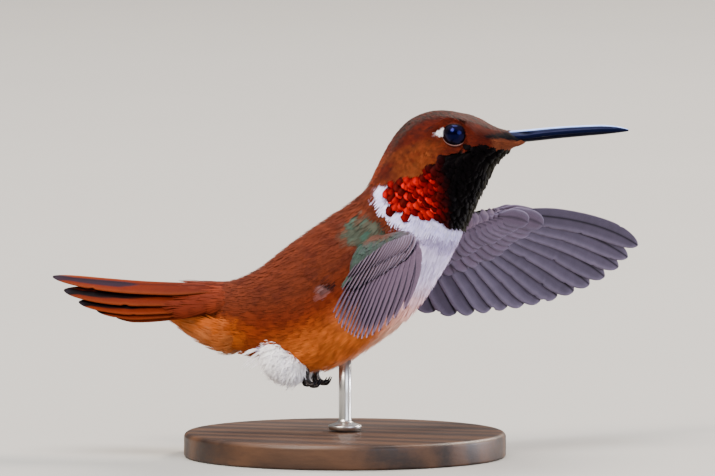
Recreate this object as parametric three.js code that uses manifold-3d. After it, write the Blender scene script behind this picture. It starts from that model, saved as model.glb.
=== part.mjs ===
// A male rufous hummingbird hovering, at life size, on a plain display stand.
// Millimetres, +Z up, the bill towards +X and the bird's right side towards -Y.
// The origin is the middle of the underside of the base, below the belly.
import * as THREE from "three";
import { mergeVertices } from "three/addons/utils/BufferGeometryUtils.js";
import Module from "manifold-3d";

const wasm = await Module();
wasm.setup();

// ---------- driving sizes ----------

const GAP = 0.3; // clearance between two pieces that touch
const FEATHER = 0.5; // thickness of a vane
const SIDES = { right: -1, left: 1 }; // sign of Y

// Body sections from the rump to the feathers at the base of the bill:
// back point [x, z], belly point [x, z], half width, and how much wider the lower half is.
const BODY = [
  { back: [-20.0, 24.2], belly: [-24.0, 18.1], half: 2.4, low: 0 },
  { back: [-16.4, 25.0], belly: [-19.6, 15.4], half: 4.0, low: 0 },
  { back: [-12.8, 26.7], belly: [-13.6, 13.6], half: 5.4, low: 0 },
  { back: [-9.5, 29.2], belly: [-7.4, 11.9], half: 6.5, low: 0.02 },
  { back: [-6.0, 31.8], belly: [-1.8, 12.3], half: 7.2, low: 0.04 },
  { back: [-2.3, 34.3], belly: [4.5, 16.0], half: 7.7, low: 0.04 },
  { back: [0.8, 36.3], belly: [9.6, 20.0], half: 7.6, low: 0.03 },
  { back: [3.2, 38.3], belly: [14.0, 26.0], half: 6.9, low: 0 },
  { back: [4.6, 40.8], belly: [16.8, 31.0], half: 5.9, low: 0 },
  { back: [6.1, 43.7], belly: [18.0, 33.6], half: 5.3, low: 0 },
  { back: [7.6, 46.1], belly: [19.6, 36.8], half: 5.2, low: -0.03 },
  { back: [9.8, 48.3], belly: [21.3, 40.3], half: 5.2, low: -0.04 },
  { back: [12.8, 49.55], belly: [22.7, 42.7], half: 5.1, low: -0.02 },
  { back: [16.1, 49.55], belly: [24.0, 43.9], half: 4.6, low: 0 },
  { back: [19.5, 48.55], belly: [25.1, 44.6], half: 3.6, low: 0 },
  { back: [22.8, 47.3], belly: [26.2, 44.95], half: 2.2, low: 0 },
  { back: [25.6, 46.9], belly: [27.4, 45.4], half: 1.1, low: 0 },
];
const BODY_RINGS = 38;
const BODY_SIDES = 24;

// Side-view lines [x, z] along which the body is parted.
const PARTINGS = {
  headFromThroat: [
    [27.4, 43.2], [24.6, 44.2], [22.6, 44.8], [20.6, 45.0], [18.4, 44.5],
    [15.6, 43.2], [13.2, 41.8], [10.4, 40.9], [7.2, 39.9],
  ],
  headFromNeck: [[7.6, 39.9], [6.0, 40.4], [2.0, 42.2]],
  throatFromNeck: [
    [6.9, 40.2], [7.5, 37.6], [9.0, 35.9], [12.3, 34.8], [15.6, 33.8], [19.8, 31.2],
  ],
  neckFromTorso: [[1.0, 39.9], [5.9, 36.2], [8.9, 33.7], [13.3, 31.4], [20.6, 28.9]],
  torsoFromTail: [[-12.4, 31.0], [-13.6, 24.0], [-16.6, 18.6], [-17.6, 11.0]],
};
const THROAT_PROUD = 0.45; // the gorget's feathers stand out from the collar

// Bill sections: [x, z of the middle, half height, half width].
const BILL = [
  [22.9, 46.0, 0.78, 1.25],
  [26.3, 46.25, 0.84, 1.12],
  [32.3, 46.9, 0.8, 0.86],
  [38.3, 47.38, 0.66, 0.66],
  [40.6, 47.45, 0.44, 0.46],
  [42.1, 47.4, 0.16, 0.18],
];
const BILL_SIDES = 12;
const BILL_RINGS = 12;
const MOUTH_LINE = [
  [20.8, 46.3], [23.4, 46.15], [26.3, 45.9], [32.3, 46.65], [38.3, 47.1], [40.2, 47.0], [41.6, 46.3],
];
const GAPE_DEPTH = 0.6; // how far the corner of the mouth cuts into the face
const NOSTRIL = { at: [27.0, 0.98, 46.75], length: 2.2, height: 0.34, depth: 0.5, slant: 4 };

// Eyeball, the angle in degrees that it looks forwards, and the lids' rim round it.
const EYE = { at: [17.9, 3.1, 46.75], radius: 2.05, forward: 12, upward: 0.06 };
const LID = { radius: 1.94, roll: 0.27, outward: 1.38 };

// Wing: the leading corner of its root, then angles in degrees. The stroke is measured forwards from
// straight out to the side, the droop downwards, and the pitch is the tilt of the chord. The right wing
// hangs lower and lies flatter.
const WING = { root: [8.2, 6.6, 32.0], rootPitch: 45, twistEnd: 15 };
const WING_HELD = {
  right: { stroke: 22, droop: 7.5, outerPitch: 48 },
  left: { stroke: 28, droop: 4.5, outerPitch: 66 },
};
const WING_CAMBER = 0.012; // fall of the vanes per square millimetre of chord
// Wing plan: span from the root, chord towards the leading edge.
const ARM = [
  // [span, chord, half chord, half thickness]
  [-2.6, -4.0, 3.6, 1.7],
  [1.5, -3.2, 3.6, 1.5],
  [5.0, -0.6, 2.7, 1.2],
  [8.0, 1.6, 1.8, 0.95],
  [12.0, 2.8, 1.1, 0.72],
  [16.0, 3.3, 0.55, 0.5],
];
const ARM_RINGS = 11;
const ARM_SIDES = 10;
const HAND_LINE = [[14.6, 3.3], [7.2, 0.9]]; // roots of the outermost and innermost primary
const FOREARM_LINE = [[6.4, 0.2], [0.6, -4.6]]; // roots of the outermost and innermost secondary
const WING_OUTLINE = [
  [46.2, -0.8], [43.6, -4.4], [37.5, -7.6], [29.5, -9.7], [21.0, -11.0], [12.0, -12.2], [3.0, -12.6],
];
const PRIMARIES = 10;
const SECONDARIES = 6;
const FLIGHT_WIDTH = { outer: 3.1, inner: 4.4, grownAt: 0.4 }; // inner width from this share of the row on
const PRIMARY_BOW = { most: 3.4, fade: 1.3 }; // the outermost primary bows towards the leading edge
const TIP_CROWDING = 0.9; // below 1, the tips lie closer together towards the body
const FLIGHT_TILT = 8; // each vane's leading edge is raised, so that it lies on the next one out
const COVERTS = { above: 9, below: 5, reach: 0.34, inward: 0.5, width: 3.3, lift: 0.42, bow: 0.2, tilt: 6.4 };

// Tail: the feathers lie on an arch that widens backwards, the middle pair on top.
const TAIL = {
  root: [-15.2, 24.5], rootRadius: 2.5, endRadius: 6.6, spreadLength: 15, flat: 0.85, tent: 0.75,
};
const TAIL_CURL = { from: 5.5, rate: 0.0021 }; // the ends bend upwards from this far behind the root
const RECTRICES = [
  // angle round the arch from the top, length from the root, width
  { angle: 20, length: 28.2, width: 5.4 },
  { angle: 42, length: 25.8, width: 4.8 },
  { angle: 60, length: 23.2, width: 4.2 },
  { angle: 72, length: 20.4, width: 3.8 },
  { angle: 82, length: 17.6, width: 3.4 },
];
const RECTRIX_TILT = 9;
const RECTRIX_STEP = 0.26; // each lies this much below the one above it
const MIDDLE_LAP = 0.4; // the right middle feather lies this far above the left one
const UPPER_COVERTS = { angles: [-58, -34, -11, 12, 35, 58], length: 9.5, width: 3.8, lift: 0.4 };
const VENT_COVERTS = [
  // side offset, root [x, z], tip [x, z], width
  { across: [-1.6, 0, 1.6], root: [-18.6, 17.6], tip: [-27.4, 19.4], sag: 0.9, width: 3.4 },
  { across: [-2.2, -0.8, 0.8, 2.2], root: [-17.6, 16.6], tip: [-24.0, 17.2], sag: 0.7, width: 3.0 },
];
const VENT_SHAPE = { thick: 0.6, gather: 0.55, curl: 0.05 }; // the tips draw together, the edges curl up

// Legs: a tuft of down over each thigh, and a small foot with curled toes.
const THIGH = { at: [-9.0, 3.05, 13.5], radii: [3.7, 2.6, 3.0], tilt: -35 };
const LOCKS = { count: 13, length: 3.4, width: 1.5, thick: 0.6, rootDepth: 0.5, highest: 0.25, lowest: 0.95 };
const LOCK_LEAN = { keep: [0.7, 0.45, 1], add: [-0.35, 0, -0.3] }; // the locks lean back and down
const FOOT = { ankle: [-5.0, 2.3, 12.3], toeRadius: 0.3, clawTip: 0.12, spreadBy: 0.6 };
const SHIN = { above: [-0.6, 1.9], below: [0.1, -0.5], radii: [0.48, 0.4] }; // [x, z] from the ankle
const TOES = [
  // sideways spread, toe path [x, z] measured from the ankle
  { spread: -0.8, path: [[0, 0], [-0.2, -1.2], [0.3, -2.1], [1.2, -2.1], [1.7, -1.3]] },
  { spread: 0, path: [[0, 0], [-0.1, -1.3], [0.5, -2.4], [1.6, -2.3], [2.2, -1.3]] },
  { spread: 0.8, path: [[0, 0], [-0.2, -1.2], [0.3, -2.1], [1.2, -2.1], [1.7, -1.3]] },
  { spread: 0.1, path: [[0, 0], [-0.7, -0.6], [-1.1, -1.5], [-0.7, -2.3], [0, -2.5]] },
];

const BASE = { radius: 23, height: 3.5, edge: 0.7, foot: 0.35 }; // top and bottom edges are cut back
const ROD = { radius: 0.9, top: 17, footRadius: 2.4, footHeight: 1.1, footEdge: 0.66 };

// ---------- solids ----------

const v3 = (x, y, z) => new THREE.Vector3(x, y, z);
const rad = THREE.MathUtils.degToRad;
const lerp = THREE.MathUtils.lerp;
const smooth = THREE.MathUtils.smoothstep;

// A closed geometry as a solid with its faces pointing out.
function solidOf(geometry) {
  const bare = geometry.clone();
  bare.deleteAttribute("normal");
  bare.deleteAttribute("uv");
  const merged = mergeVertices(bare, 1e-4);
  const vertProperties = merged.attributes.position.array;
  const make = (triVerts) => new wasm.Manifold(new wasm.Mesh({ numProp: 3, vertProperties, triVerts }));
  const faces = new Uint32Array(merged.index.array);
  const made = make(faces);
  if (made.volume() > 0) return made;
  for (let i = 0; i < faces.length; i += 3) [faces[i + 1], faces[i + 2]] = [faces[i + 2], faces[i + 1]];
  return make(faces);
}

function geometryOf(points, faces) {
  const geometry = new THREE.BufferGeometry();
  const positions = points.flatMap((p) => p.toArray());
  geometry.setAttribute("position", new THREE.Float32BufferAttribute(positions, 3));
  geometry.setIndex(faces.flat());
  return geometry;
}

// A closed skin over rings of points, with a fan at each end.
function loft(rings) {
  const sides = rings[0].length;
  const points = rings.flat();
  const faces = [];
  for (let i = 0; i + 1 < rings.length; i++)
    for (let k = 0; k < sides; k++) {
      const a = i * sides + k;
      const b = i * sides + ((k + 1) % sides);
      faces.push([a, b, b + sides], [a, b + sides, a + sides]);
    }
  for (const end of [0, rings.length - 1]) {
    const middle = rings[end].reduce((sum, p) => sum.add(p), v3(0, 0, 0)).divideScalar(sides);
    points.push(middle);
    for (let k = 0; k < sides; k++) {
      const a = end * sides + k;
      const b = end * sides + ((k + 1) % sides);
      faces.push(end === 0 ? [b, a, points.length - 1] : [a, b, points.length - 1]);
    }
  }
  return solidOf(geometryOf(points, faces));
}

const ellipse = (middle, up, across, sides) =>
  Array.from({ length: sides }, (_, k) => {
    const a = (k / sides) * 2 * Math.PI;
    return middle.clone().addScaledVector(up, Math.cos(a)).addScaledVector(across, Math.sin(a));
  });

// A round bar along a path, with a radius for each of its points.
function taperedBar(path, radii, steps, sides) {
  const curve = new THREE.CatmullRomCurve3(path);
  const frames = curve.computeFrenetFrames(steps, false);
  return loft(
    Array.from({ length: steps + 1 }, (_, i) => {
      const t = i / steps;
      const at = t * (radii.length - 1);
      const low = Math.min(Math.floor(at), radii.length - 2);
      const r = lerp(radii[low], radii[low + 1], at - low);
      return ellipse(
        curve.getPoint(t),
        frames.normals[i].clone().multiplyScalar(r),
        frames.binormals[i].clone().multiplyScalar(r),
        sides,
      );
    }),
  );
}

// A feather's vane. place(along, across, off) maps feather coordinates to the part's frame, where
// along runs from 0 at the root to 1 at the tip. Both faces are split along the same diagonals.
function vane({ place, width, thick = FEATHER, steps = 7, pointed = 0.25, lead = 0.42 }) {
  const points = [];
  const faces = [];
  for (let i = 0; i <= steps; i++) {
    const t = i / steps;
    const taper = t < 1 - pointed ? 1 : Math.sqrt(Math.max(0.05, 1 - ((t - 1 + pointed) / pointed) ** 2));
    const w = width * taper * lerp(0.45, 1, smooth(t, 0, 0.35));
    const h = (thick / 2) * (t < 0.99 ? 1 : 0.6);
    points.push(place(t, w * lead, h), place(t, -w * (1 - lead), h));
    points.push(place(t, -w * (1 - lead), -h), place(t, w * lead, -h));
  }
  for (let i = 0; i < steps; i++) {
    const [lt, tt, tb, lb] = [0, 1, 2, 3].map((k) => i * 4 + k);
    faces.push([lt, tt, tt + 4], [lt, tt + 4, lt + 4]); // upper face
    faces.push([lb, tb + 4, tb], [lb, lb + 4, tb + 4]); // lower face
    faces.push([tt, tb, tb + 4], [tt, tb + 4, tt + 4]); // trailing edge
    faces.push([lb, lt, lt + 4], [lb, lt + 4, lb + 4]); // leading edge
  }
  const e = steps * 4;
  faces.push([0, 3, 2], [0, 2, 1], [e, e + 1, e + 2], [e, e + 2, e + 3]);
  return solidOf(geometryOf(points, faces));
}

const joined = (solids) => solids.reduce((sum, s) => sum.add(s));

function largest(solid) {
  return solid.decompose().reduce((best, s) => (s.volume() > best.volume() ? s : best));
}

// ---------- body ----------

function bodyCurves() {
  const curve = (pick) => new THREE.CatmullRomCurve3(BODY.map(pick));
  return {
    back: curve((s) => v3(s.back[0], 0, s.back[1])),
    belly: curve((s) => v3(s.belly[0], 0, s.belly[1])),
    size: curve((s) => v3(s.half, s.low, 0)),
  };
}

// The whole body from rump to bill base, its surface moved out by grow.
function bodyForm(grow) {
  const { back, belly, size } = bodyCurves();
  const rings = Array.from({ length: BODY_RINGS + 1 }, (_, i) => {
    const t = i / BODY_RINGS;
    const top = back.getPoint(t);
    const bottom = belly.getPoint(t);
    const { x: half, y: low } = size.getPoint(t);
    const middle = top.clone().add(bottom).multiplyScalar(0.5);
    const rise = top.clone().sub(middle);
    rise.setLength(rise.length() + grow);
    const forward = v3(rise.z, 0, -rise.x).normalize();
    const end = i === 0 ? -grow : i === BODY_RINGS ? grow : 0;
    middle.addScaledVector(forward, end);
    return Array.from({ length: BODY_SIDES }, (_, k) => {
      const a = (k / BODY_SIDES) * 2 * Math.PI;
      const across = (half + grow) * Math.sin(a) * (1 - low * Math.cos(a));
      return middle.clone().addScaledVector(rise, Math.cos(a)).add(v3(0, across, 0));
    });
  });
  return loft(rings);
}

// A thin wall right across the body along a side-view line.
function slit(line) {
  const curve = new THREE.CatmullRomCurve3(line.map(([x, z]) => v3(x, z, 0)));
  const steps = (line.length - 1) * 2;
  const upper = [];
  const lower = [];
  for (let i = 0; i <= steps; i++) {
    const p = curve.getPoint(i / steps);
    const t = curve.getTangent(i / steps);
    upper.push(new THREE.Vector2(p.x - (t.y * GAP) / 2, p.y + (t.x * GAP) / 2));
    lower.push(new THREE.Vector2(p.x + (t.y * GAP) / 2, p.y - (t.x * GAP) / 2));
  }
  const shape = new THREE.Shape([...upper, ...lower.reverse()]);
  const reach = 20;
  const wall = new THREE.ExtrudeGeometry(shape, { depth: 2 * reach, bevelEnabled: false });
  return solidOf(wall.rotateX(Math.PI / 2).translate(0, reach, 0));
}

// The piece of a parted solid whose middle is nearest to a side-view point.
function pieceNear(pieces, [x, z]) {
  const distance = (s) => {
    const { min, max } = s.boundingBox();
    return Math.hypot((min[0] + max[0]) / 2 - x, (min[2] + max[2]) / 2 - z);
  };
  return pieces.reduce((best, s) => (distance(s) < distance(best) ? s : best));
}

const partingWalls = joined(Object.values(PARTINGS).map(slit));
const bodyPieces = bodyForm(0).subtract(partingWalls).decompose();
const proudPieces = bodyForm(THROAT_PROUD).subtract(partingWalls).decompose();
const clearOfBody = bodyForm(GAP);

// ---------- bill ----------

function billForm(grow) {
  const curve = (pick) => new THREE.CatmullRomCurve3(BILL.map(pick));
  const middles = curve(([x, z]) => v3(x, 0, z));
  const sizes = curve(([, , high, wide]) => v3(high, wide, 0));
  return loft(
    Array.from({ length: BILL_RINGS + 1 }, (_, i) => {
      const t = i / BILL_RINGS;
      const { x: high, y: wide } = sizes.getPoint(t);
      const middle = middles.getPoint(t).add(v3(i === 0 ? -grow : 0, 0, 0));
      return ellipse(middle, v3(0, 0, high + grow), v3(0, wide + grow, 0), BILL_SIDES);
    }),
  );
}

function nostril(side) {
  const [x, y, z] = NOSTRIL.at;
  const slot = new THREE.SphereGeometry(0.5, 8, 6).scale(NOSTRIL.length, NOSTRIL.depth, NOSTRIL.height);
  return solidOf(slot.rotateY(rad(-NOSTRIL.slant)).translate(x, side * y, z));
}

function bills() {
  const pieces = billForm(0).subtract(slit(MOUTH_LINE)).decompose();
  const [upper, lower] = pieces.sort((a, b) => b.volume() - a.volume()).slice(0, 2);
  const nostrils = joined(Object.values(SIDES).map(nostril));
  const upperIsFirst = upper.boundingBox().max[2] > lower.boundingBox().max[2];
  return upperIsFirst
    ? { upper: largest(upper.subtract(nostrils)), lower }
    : { upper: largest(lower.subtract(nostrils)), lower: upper };
}

// ---------- eyes and head ----------

const eyeAt = (side) => v3(EYE.at[0], side * EYE.at[1], EYE.at[2]);

function eyeAxis(side) {
  const turn = rad(EYE.forward);
  return v3(Math.sin(turn), side * Math.cos(turn), EYE.upward).normalize();
}

function eyeball(side, grow = 0) {
  const ball = new THREE.SphereGeometry(EYE.radius + grow, 16, 10);
  return solidOf(ball.translate(...eyeAt(side).toArray()));
}

// The ring of the upper and lower lid, as a rim on the head round the eye.
function lids(side) {
  const ring = new THREE.TorusGeometry(LID.radius, LID.roll, 6, 16);
  const axis = eyeAxis(side);
  const turn = new THREE.Quaternion().setFromUnitVectors(v3(0, 0, 1), axis);
  const at = eyeAt(side).addScaledVector(axis, LID.outward);
  return solidOf(ring.applyQuaternion(turn).translate(at.x, at.y, at.z));
}

function head() {
  let made = pieceNear(bodyPieces, [15, 45]);
  for (const side of Object.values(SIDES)) made = made.add(lids(side)).subtract(eyeball(side, GAP));
  const gape = slit(MOUTH_LINE).subtract(bodyForm(-GAPE_DEPTH));
  return largest(made.subtract(gape).subtract(billForm(GAP)));
}

// ---------- wings ----------

// Maps span, chord and height over the wing to the part's frame, for one side.
function wingMap(name) {
  const side = SIDES[name];
  const held = WING_HELD[name];
  const stroke = rad(held.stroke);
  const droop = rad(held.droop);
  const reach = Math.cos(droop);
  const span = v3(Math.sin(stroke) * reach, side * Math.cos(stroke) * reach, -Math.sin(droop));
  const forward = v3(Math.cos(stroke), -side * Math.sin(stroke), 0);
  const up = forward.clone().cross(span).multiplyScalar(side);
  const root = v3(WING.root[0], side * WING.root[1], WING.root[2]);
  return (s, c, n) => {
    const pitch = rad(lerp(WING.rootPitch, held.outerPitch, smooth(s, 0, WING.twistEnd)));
    const height = n - WING_CAMBER * c * c;
    const along = c * Math.cos(pitch) - height * Math.sin(pitch);
    const over = c * Math.sin(pitch) + height * Math.cos(pitch);
    return root.clone().addScaledVector(span, s).addScaledVector(forward, along).addScaledVector(up, over);
  };
}

// One feather in the plane of the wing: a bowed shaft from root to tip, its vane tilted about it.
function wingFeather(map, { root, tip, bow, width, lift = 0, tilt = FLIGHT_TILT, ...rest }) {
  const from = new THREE.Vector2(...root);
  const to = new THREE.Vector2(...tip);
  const run = to.clone().sub(from);
  const normal = new THREE.Vector2(-run.y, run.x).normalize(); // towards the leading edge
  const knee = from.clone().addScaledVector(run, 0.6).addScaledVector(normal, bow);
  const shaft = new THREE.QuadraticBezierCurve(from, knee, to);
  const place = (t, across, off) => {
    const at = shaft.getPoint(t);
    const tangent = shaft.getTangent(t);
    const raised = across * Math.tan(rad(tilt)) * smooth(t, 0, 0.3);
    return map(at.x - tangent.y * across, at.y + tangent.x * across, lift + off + raised);
  };
  return vane({ place, width, ...rest });
}

// Root, tip, bow and width of each flight feather, from the outermost primary to the innermost secondary.
function flightFeathers() {
  const outline = new THREE.CatmullRomCurve3(WING_OUTLINE.map(([s, c]) => v3(s, c, 0)));
  const onLine = ([a, b], t) => [lerp(a[0], b[0], t), lerp(a[1], b[1], t)];
  const total = PRIMARIES + SECONDARIES;
  return Array.from({ length: total }, (_, i) => {
    const t = i / (total - 1);
    const primary = i < PRIMARIES;
    const root = primary
      ? onLine(HAND_LINE, i / (PRIMARIES - 1))
      : onLine(FOREARM_LINE, (i - PRIMARIES) / (SECONDARIES - 1));
    const tip = outline.getPoint(t ** TIP_CROWDING);
    const bow = primary ? PRIMARY_BOW.most * (1 - i / PRIMARIES) ** PRIMARY_BOW.fade : 0;
    const width = lerp(FLIGHT_WIDTH.outer, FLIGHT_WIDTH.inner, Math.min(1, t / FLIGHT_WIDTH.grownAt));
    return { root, tip: [tip.x, tip.y], bow, width };
  });
}

// A row of coverts over the flight feathers' bases, on the upper face (1) or the lower face (-1).
function wingCoverts(map, flight, face, count) {
  return Array.from({ length: count }, (_, k) => {
    const on = flight[Math.round(lerp(1, flight.length - 1, k / (count - 1)))];
    const reach = COVERTS.reach * (1 + COVERTS.inward * (k / count));
    const tip = [lerp(on.root[0], on.tip[0], reach), lerp(on.root[1], on.tip[1], reach) + on.bow * reach];
    const { width, bow, tilt } = COVERTS;
    const lift = face * COVERTS.lift;
    return wingFeather(map, { root: on.root, tip, bow, width, lift, tilt, pointed: 0.45, steps: 3 });
  });
}

function wing(name) {
  const map = wingMap(name);
  const flight = flightFeathers();
  const feathers = flight.map((feather) => wingFeather(map, { ...feather, steps: 6, pointed: 0.3 }));
  const coverts = [
    ...wingCoverts(map, flight, 1, COVERTS.above),
    ...wingCoverts(map, flight, -1, COVERTS.below),
  ];
  const limb = new THREE.CatmullRomCurve3(ARM.map(([s, c]) => v3(s, c, 0)));
  const limbSize = new THREE.CatmullRomCurve3(ARM.map(([, , chord, thick]) => v3(chord, thick, 0)));
  const rings = Array.from({ length: ARM_RINGS }, (_, i) => {
    const at = limb.getPoint(i / (ARM_RINGS - 1));
    const size = limbSize.getPoint(i / (ARM_RINGS - 1));
    return Array.from({ length: ARM_SIDES }, (_, k) => {
      const a = (k / ARM_SIDES) * 2 * Math.PI;
      return map(at.x, at.y + size.x * Math.cos(a), size.y * Math.sin(a) + WING_CAMBER * at.y * at.y);
    });
  });
  return largest(joined([loft(rings), ...feathers, ...coverts]).subtract(clearOfBody));
}

// ---------- tail ----------

// The radius of the arch at a distance behind the tail's root.
function archRadius(back) {
  const spread = THREE.MathUtils.clamp(back / TAIL.spreadLength, 0, 1);
  return lerp(TAIL.rootRadius, TAIL.endRadius, Math.sqrt(spread));
}

// Maps distance back from the tail's root, angle round its arch and height over it to the part's frame.
function tailPoint(back, angle, over) {
  const radius = archRadius(back);
  const drop = TAIL.flat * radius * (1 - Math.cos(angle)) ** TAIL.tent;
  const ridge = TAIL.root[1] + TAIL_CURL.rate * (back - TAIL_CURL.from) ** 2;
  return v3(TAIL.root[0] - back, (radius + over) * Math.sin(angle), ridge - drop + over * Math.cos(angle));
}

function tailFeather({ angle, length, width, lift = 0, tilt = RECTRIX_TILT, side = 1, ...rest }) {
  const place = (t, across, off) => {
    const back = t * length;
    const turn = rad(angle) + across / archRadius(back);
    const raised = across * Math.tan(rad(tilt)) * smooth(t, 0, 0.3);
    return tailPoint(back, side * turn, lift + off + raised);
  };
  return vane({ place, width, lead: 0.5, ...rest });
}

// A soft covert below the tail: a vane that sags between its root and its tip.
function ventCovert({ across, root, tip, sag, width }) {
  const place = (t, w, off) => {
    const x = lerp(root[0], tip[0], t);
    const z = lerp(root[1], tip[1], t) - sag * Math.sin(Math.PI * t) + VENT_SHAPE.curl * w * w;
    return v3(x, across * lerp(1, VENT_SHAPE.gather, t) + w, z + off);
  };
  return vane({ place, width, thick: VENT_SHAPE.thick, steps: 4, pointed: 0.5, lead: 0.5 });
}

function tail() {
  const pieces = [pieceNear(bodyPieces, [-17, 21])];
  for (const side of Object.values(SIDES))
    RECTRICES.forEach((feather, i) => {
      const lift = -RECTRIX_STEP * i - (i === 0 && side > 0 ? MIDDLE_LAP : 0);
      pieces.push(tailFeather({ ...feather, side, lift, steps: 6, pointed: i === 0 ? 0.45 : 0.35 }));
    });
  for (const angle of UPPER_COVERTS.angles) {
    const { length, width, lift } = UPPER_COVERTS;
    pieces.push(tailFeather({ angle, length, width, lift, tilt: 0, pointed: 0.5, steps: 4 }));
  }
  for (const tier of VENT_COVERTS)
    for (const across of tier.across) pieces.push(ventCovert({ ...tier, across }));
  const clear = pieceNear(bodyForm(0).subtract(slit(PARTINGS.torsoFromTail)).decompose(), [5, 30]);
  const room = joined([clear, slit(PARTINGS.torsoFromTail)]);
  return largest(joined(pieces).subtract(room));
}

// ---------- legs ----------

// One lock of down on the thigh, with its root spread evenly over the tuft's lower half.
function thighLock(side, i) {
  const middle = v3(THIGH.at[0], side * THIGH.at[1], THIGH.at[2]);
  const depth = lerp(LOCKS.highest, LOCKS.lowest, i / (LOCKS.count - 1));
  const round = i * Math.PI * (3 - Math.sqrt(5)); // the golden angle
  const width = Math.sqrt(1 - depth * depth);
  const out = v3(Math.cos(round) * width, Math.sin(round) * width, -depth);
  const root = out.clone().multiply(v3(...THIGH.radii)).multiplyScalar(LOCKS.rootDepth).add(middle);
  const heading = out.multiply(v3(...LOCK_LEAN.keep)).add(v3(...LOCK_LEAN.add)).normalize();
  const wide = v3(0, 1, 0).cross(heading).normalize();
  const flat = heading.clone().cross(wide);
  const place = (t, across, off) =>
    root.clone()
      .addScaledVector(heading, t * LOCKS.length)
      .addScaledVector(wide, across)
      .addScaledVector(flat, off);
  return vane({ place, width: LOCKS.width, thick: LOCKS.thick, steps: 3, pointed: 0.7, lead: 0.5 });
}

function thigh(side) {
  const [x, y, z] = THIGH.at;
  const core = new THREE.SphereGeometry(1, 12, 9).scale(...THIGH.radii).rotateY(rad(THIGH.tilt));
  const pieces = [solidOf(core.translate(x, side * y, z))];
  for (let i = 0; i < LOCKS.count; i++) pieces.push(thighLock(side, i));
  const room = 40; // the other side of the bird, cut away so that the two tufts stay apart
  const otherHalf = new THREE.BoxGeometry(room, room, room).translate(x, (-side * (room - GAP)) / 2, z);
  return largest(joined(pieces).subtract(clearOfBody).subtract(solidOf(otherHalf)));
}

function foot(side) {
  const ankle = v3(FOOT.ankle[0], side * FOOT.ankle[1], FOOT.ankle[2]);
  const fromAnkle = ([x, z], across = 0) => ankle.clone().add(v3(x, side * across, z));
  const shin = taperedBar([fromAnkle(SHIN.above), ankle, fromAnkle(SHIN.below)], SHIN.radii, 3, 8);
  const toes = TOES.map(({ spread, path }) => {
    const points = path.map((point, i) => fromAnkle(point, spread * Math.min(1, i * FOOT.spreadBy)));
    const r = FOOT.toeRadius;
    return taperedBar(points, [r, r, r, r * 0.75, FOOT.clawTip], 8, 6);
  });
  return largest(joined([shin, ...toes]).subtract(clearOfBody).subtract(thighs[side]));
}

// ---------- stand ----------

function turned(profile, segments) {
  const lathe = new THREE.LatheGeometry(profile.map(([r, y]) => new THREE.Vector2(r, y)), segments);
  return solidOf(lathe.rotateX(Math.PI / 2));
}

function base() {
  const { radius, height, edge, foot } = BASE;
  const side = [[radius - foot, 0], [radius, foot], [radius, height - edge], [radius - edge, height]];
  return turned([[0, 0], ...side, [0, height]], 48);
}

function rod() {
  const { radius, top, footRadius, footHeight, footEdge } = ROD;
  const low = BASE.height + GAP;
  const side = [[footRadius, low], [footRadius, low + footEdge], [radius, low + footHeight], [radius, top]];
  return largest(turned([[0, low], ...side, [0, top]], 20).subtract(clearOfBody));
}

// ---------- the part ----------

const finish = {
  rufous: { color: 0xb5551f, roughness: 0.85 },
  head: { color: 0xa85226, roughness: 0.8 },
  gorget: { color: 0xb81a08, roughness: 0.3, metalness: 0.5 },
  white: { color: 0xefe9e4, roughness: 0.9 },
  tail: { color: 0xb45a28, roughness: 0.7 },
  wing: { color: 0x5f565f, roughness: 0.6 },
  bill: { color: 0x15161c, roughness: 0.35 },
  eye: { color: 0x0a0a10, roughness: 0.08 },
  foot: { color: 0x1d1a1a, roughness: 0.6 },
  base: { color: 0x3a2a20, roughness: 0.5 },
  rod: { color: 0xb8b8ba, roughness: 0.3, metalness: 1 },
};

const part = new THREE.Group();

function add(name, solid, material) {
  const { numProp, vertProperties, triVerts } = solid.getMesh();
  const geometry = new THREE.BufferGeometry();
  const positions = vertProperties.filter((_, i) => i % numProp < 3);
  geometry.setAttribute("position", new THREE.BufferAttribute(positions, 3));
  geometry.setIndex(new THREE.BufferAttribute(triVerts, 1));
  geometry.computeVertexNormals();
  const mesh = new THREE.Mesh(geometry, new THREE.MeshStandardMaterial(finish[material]));
  mesh.name = name;
  part.add(mesh);
}

const thighs = { [SIDES.right]: thigh(SIDES.right), [SIDES.left]: thigh(SIDES.left) };
const { upper, lower } = bills();

add("head", head(), "head");
add("gorget", pieceNear(proudPieces, [16, 38]), "gorget");
add("neck", pieceNear(bodyPieces, [10, 36]), "white");
add("torso", pieceNear(bodyPieces, [-2, 24]), "rufous");
add("tail", tail(), "tail");
add("bill_upper", upper, "bill");
add("bill_lower", lower, "bill");
for (const [name, side] of Object.entries(SIDES)) {
  add("eye_" + name, eyeball(side), "eye");
  add("wing_" + name, wing(name), "wing");
  add("thigh_" + name, thighs[side], "white");
  add("foot_" + name, foot(side), "foot");
}
add("stand_base", base(), "base");
add("stand_rod", rod(), "rod");

export default part;
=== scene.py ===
# A male rufous hummingbird hovering, life size, on a small walnut and steel display stand.
# Lengths are in millimetres until a mesh is made. +X is the way the bill points and -Y is the bird's right.
import math

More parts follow.
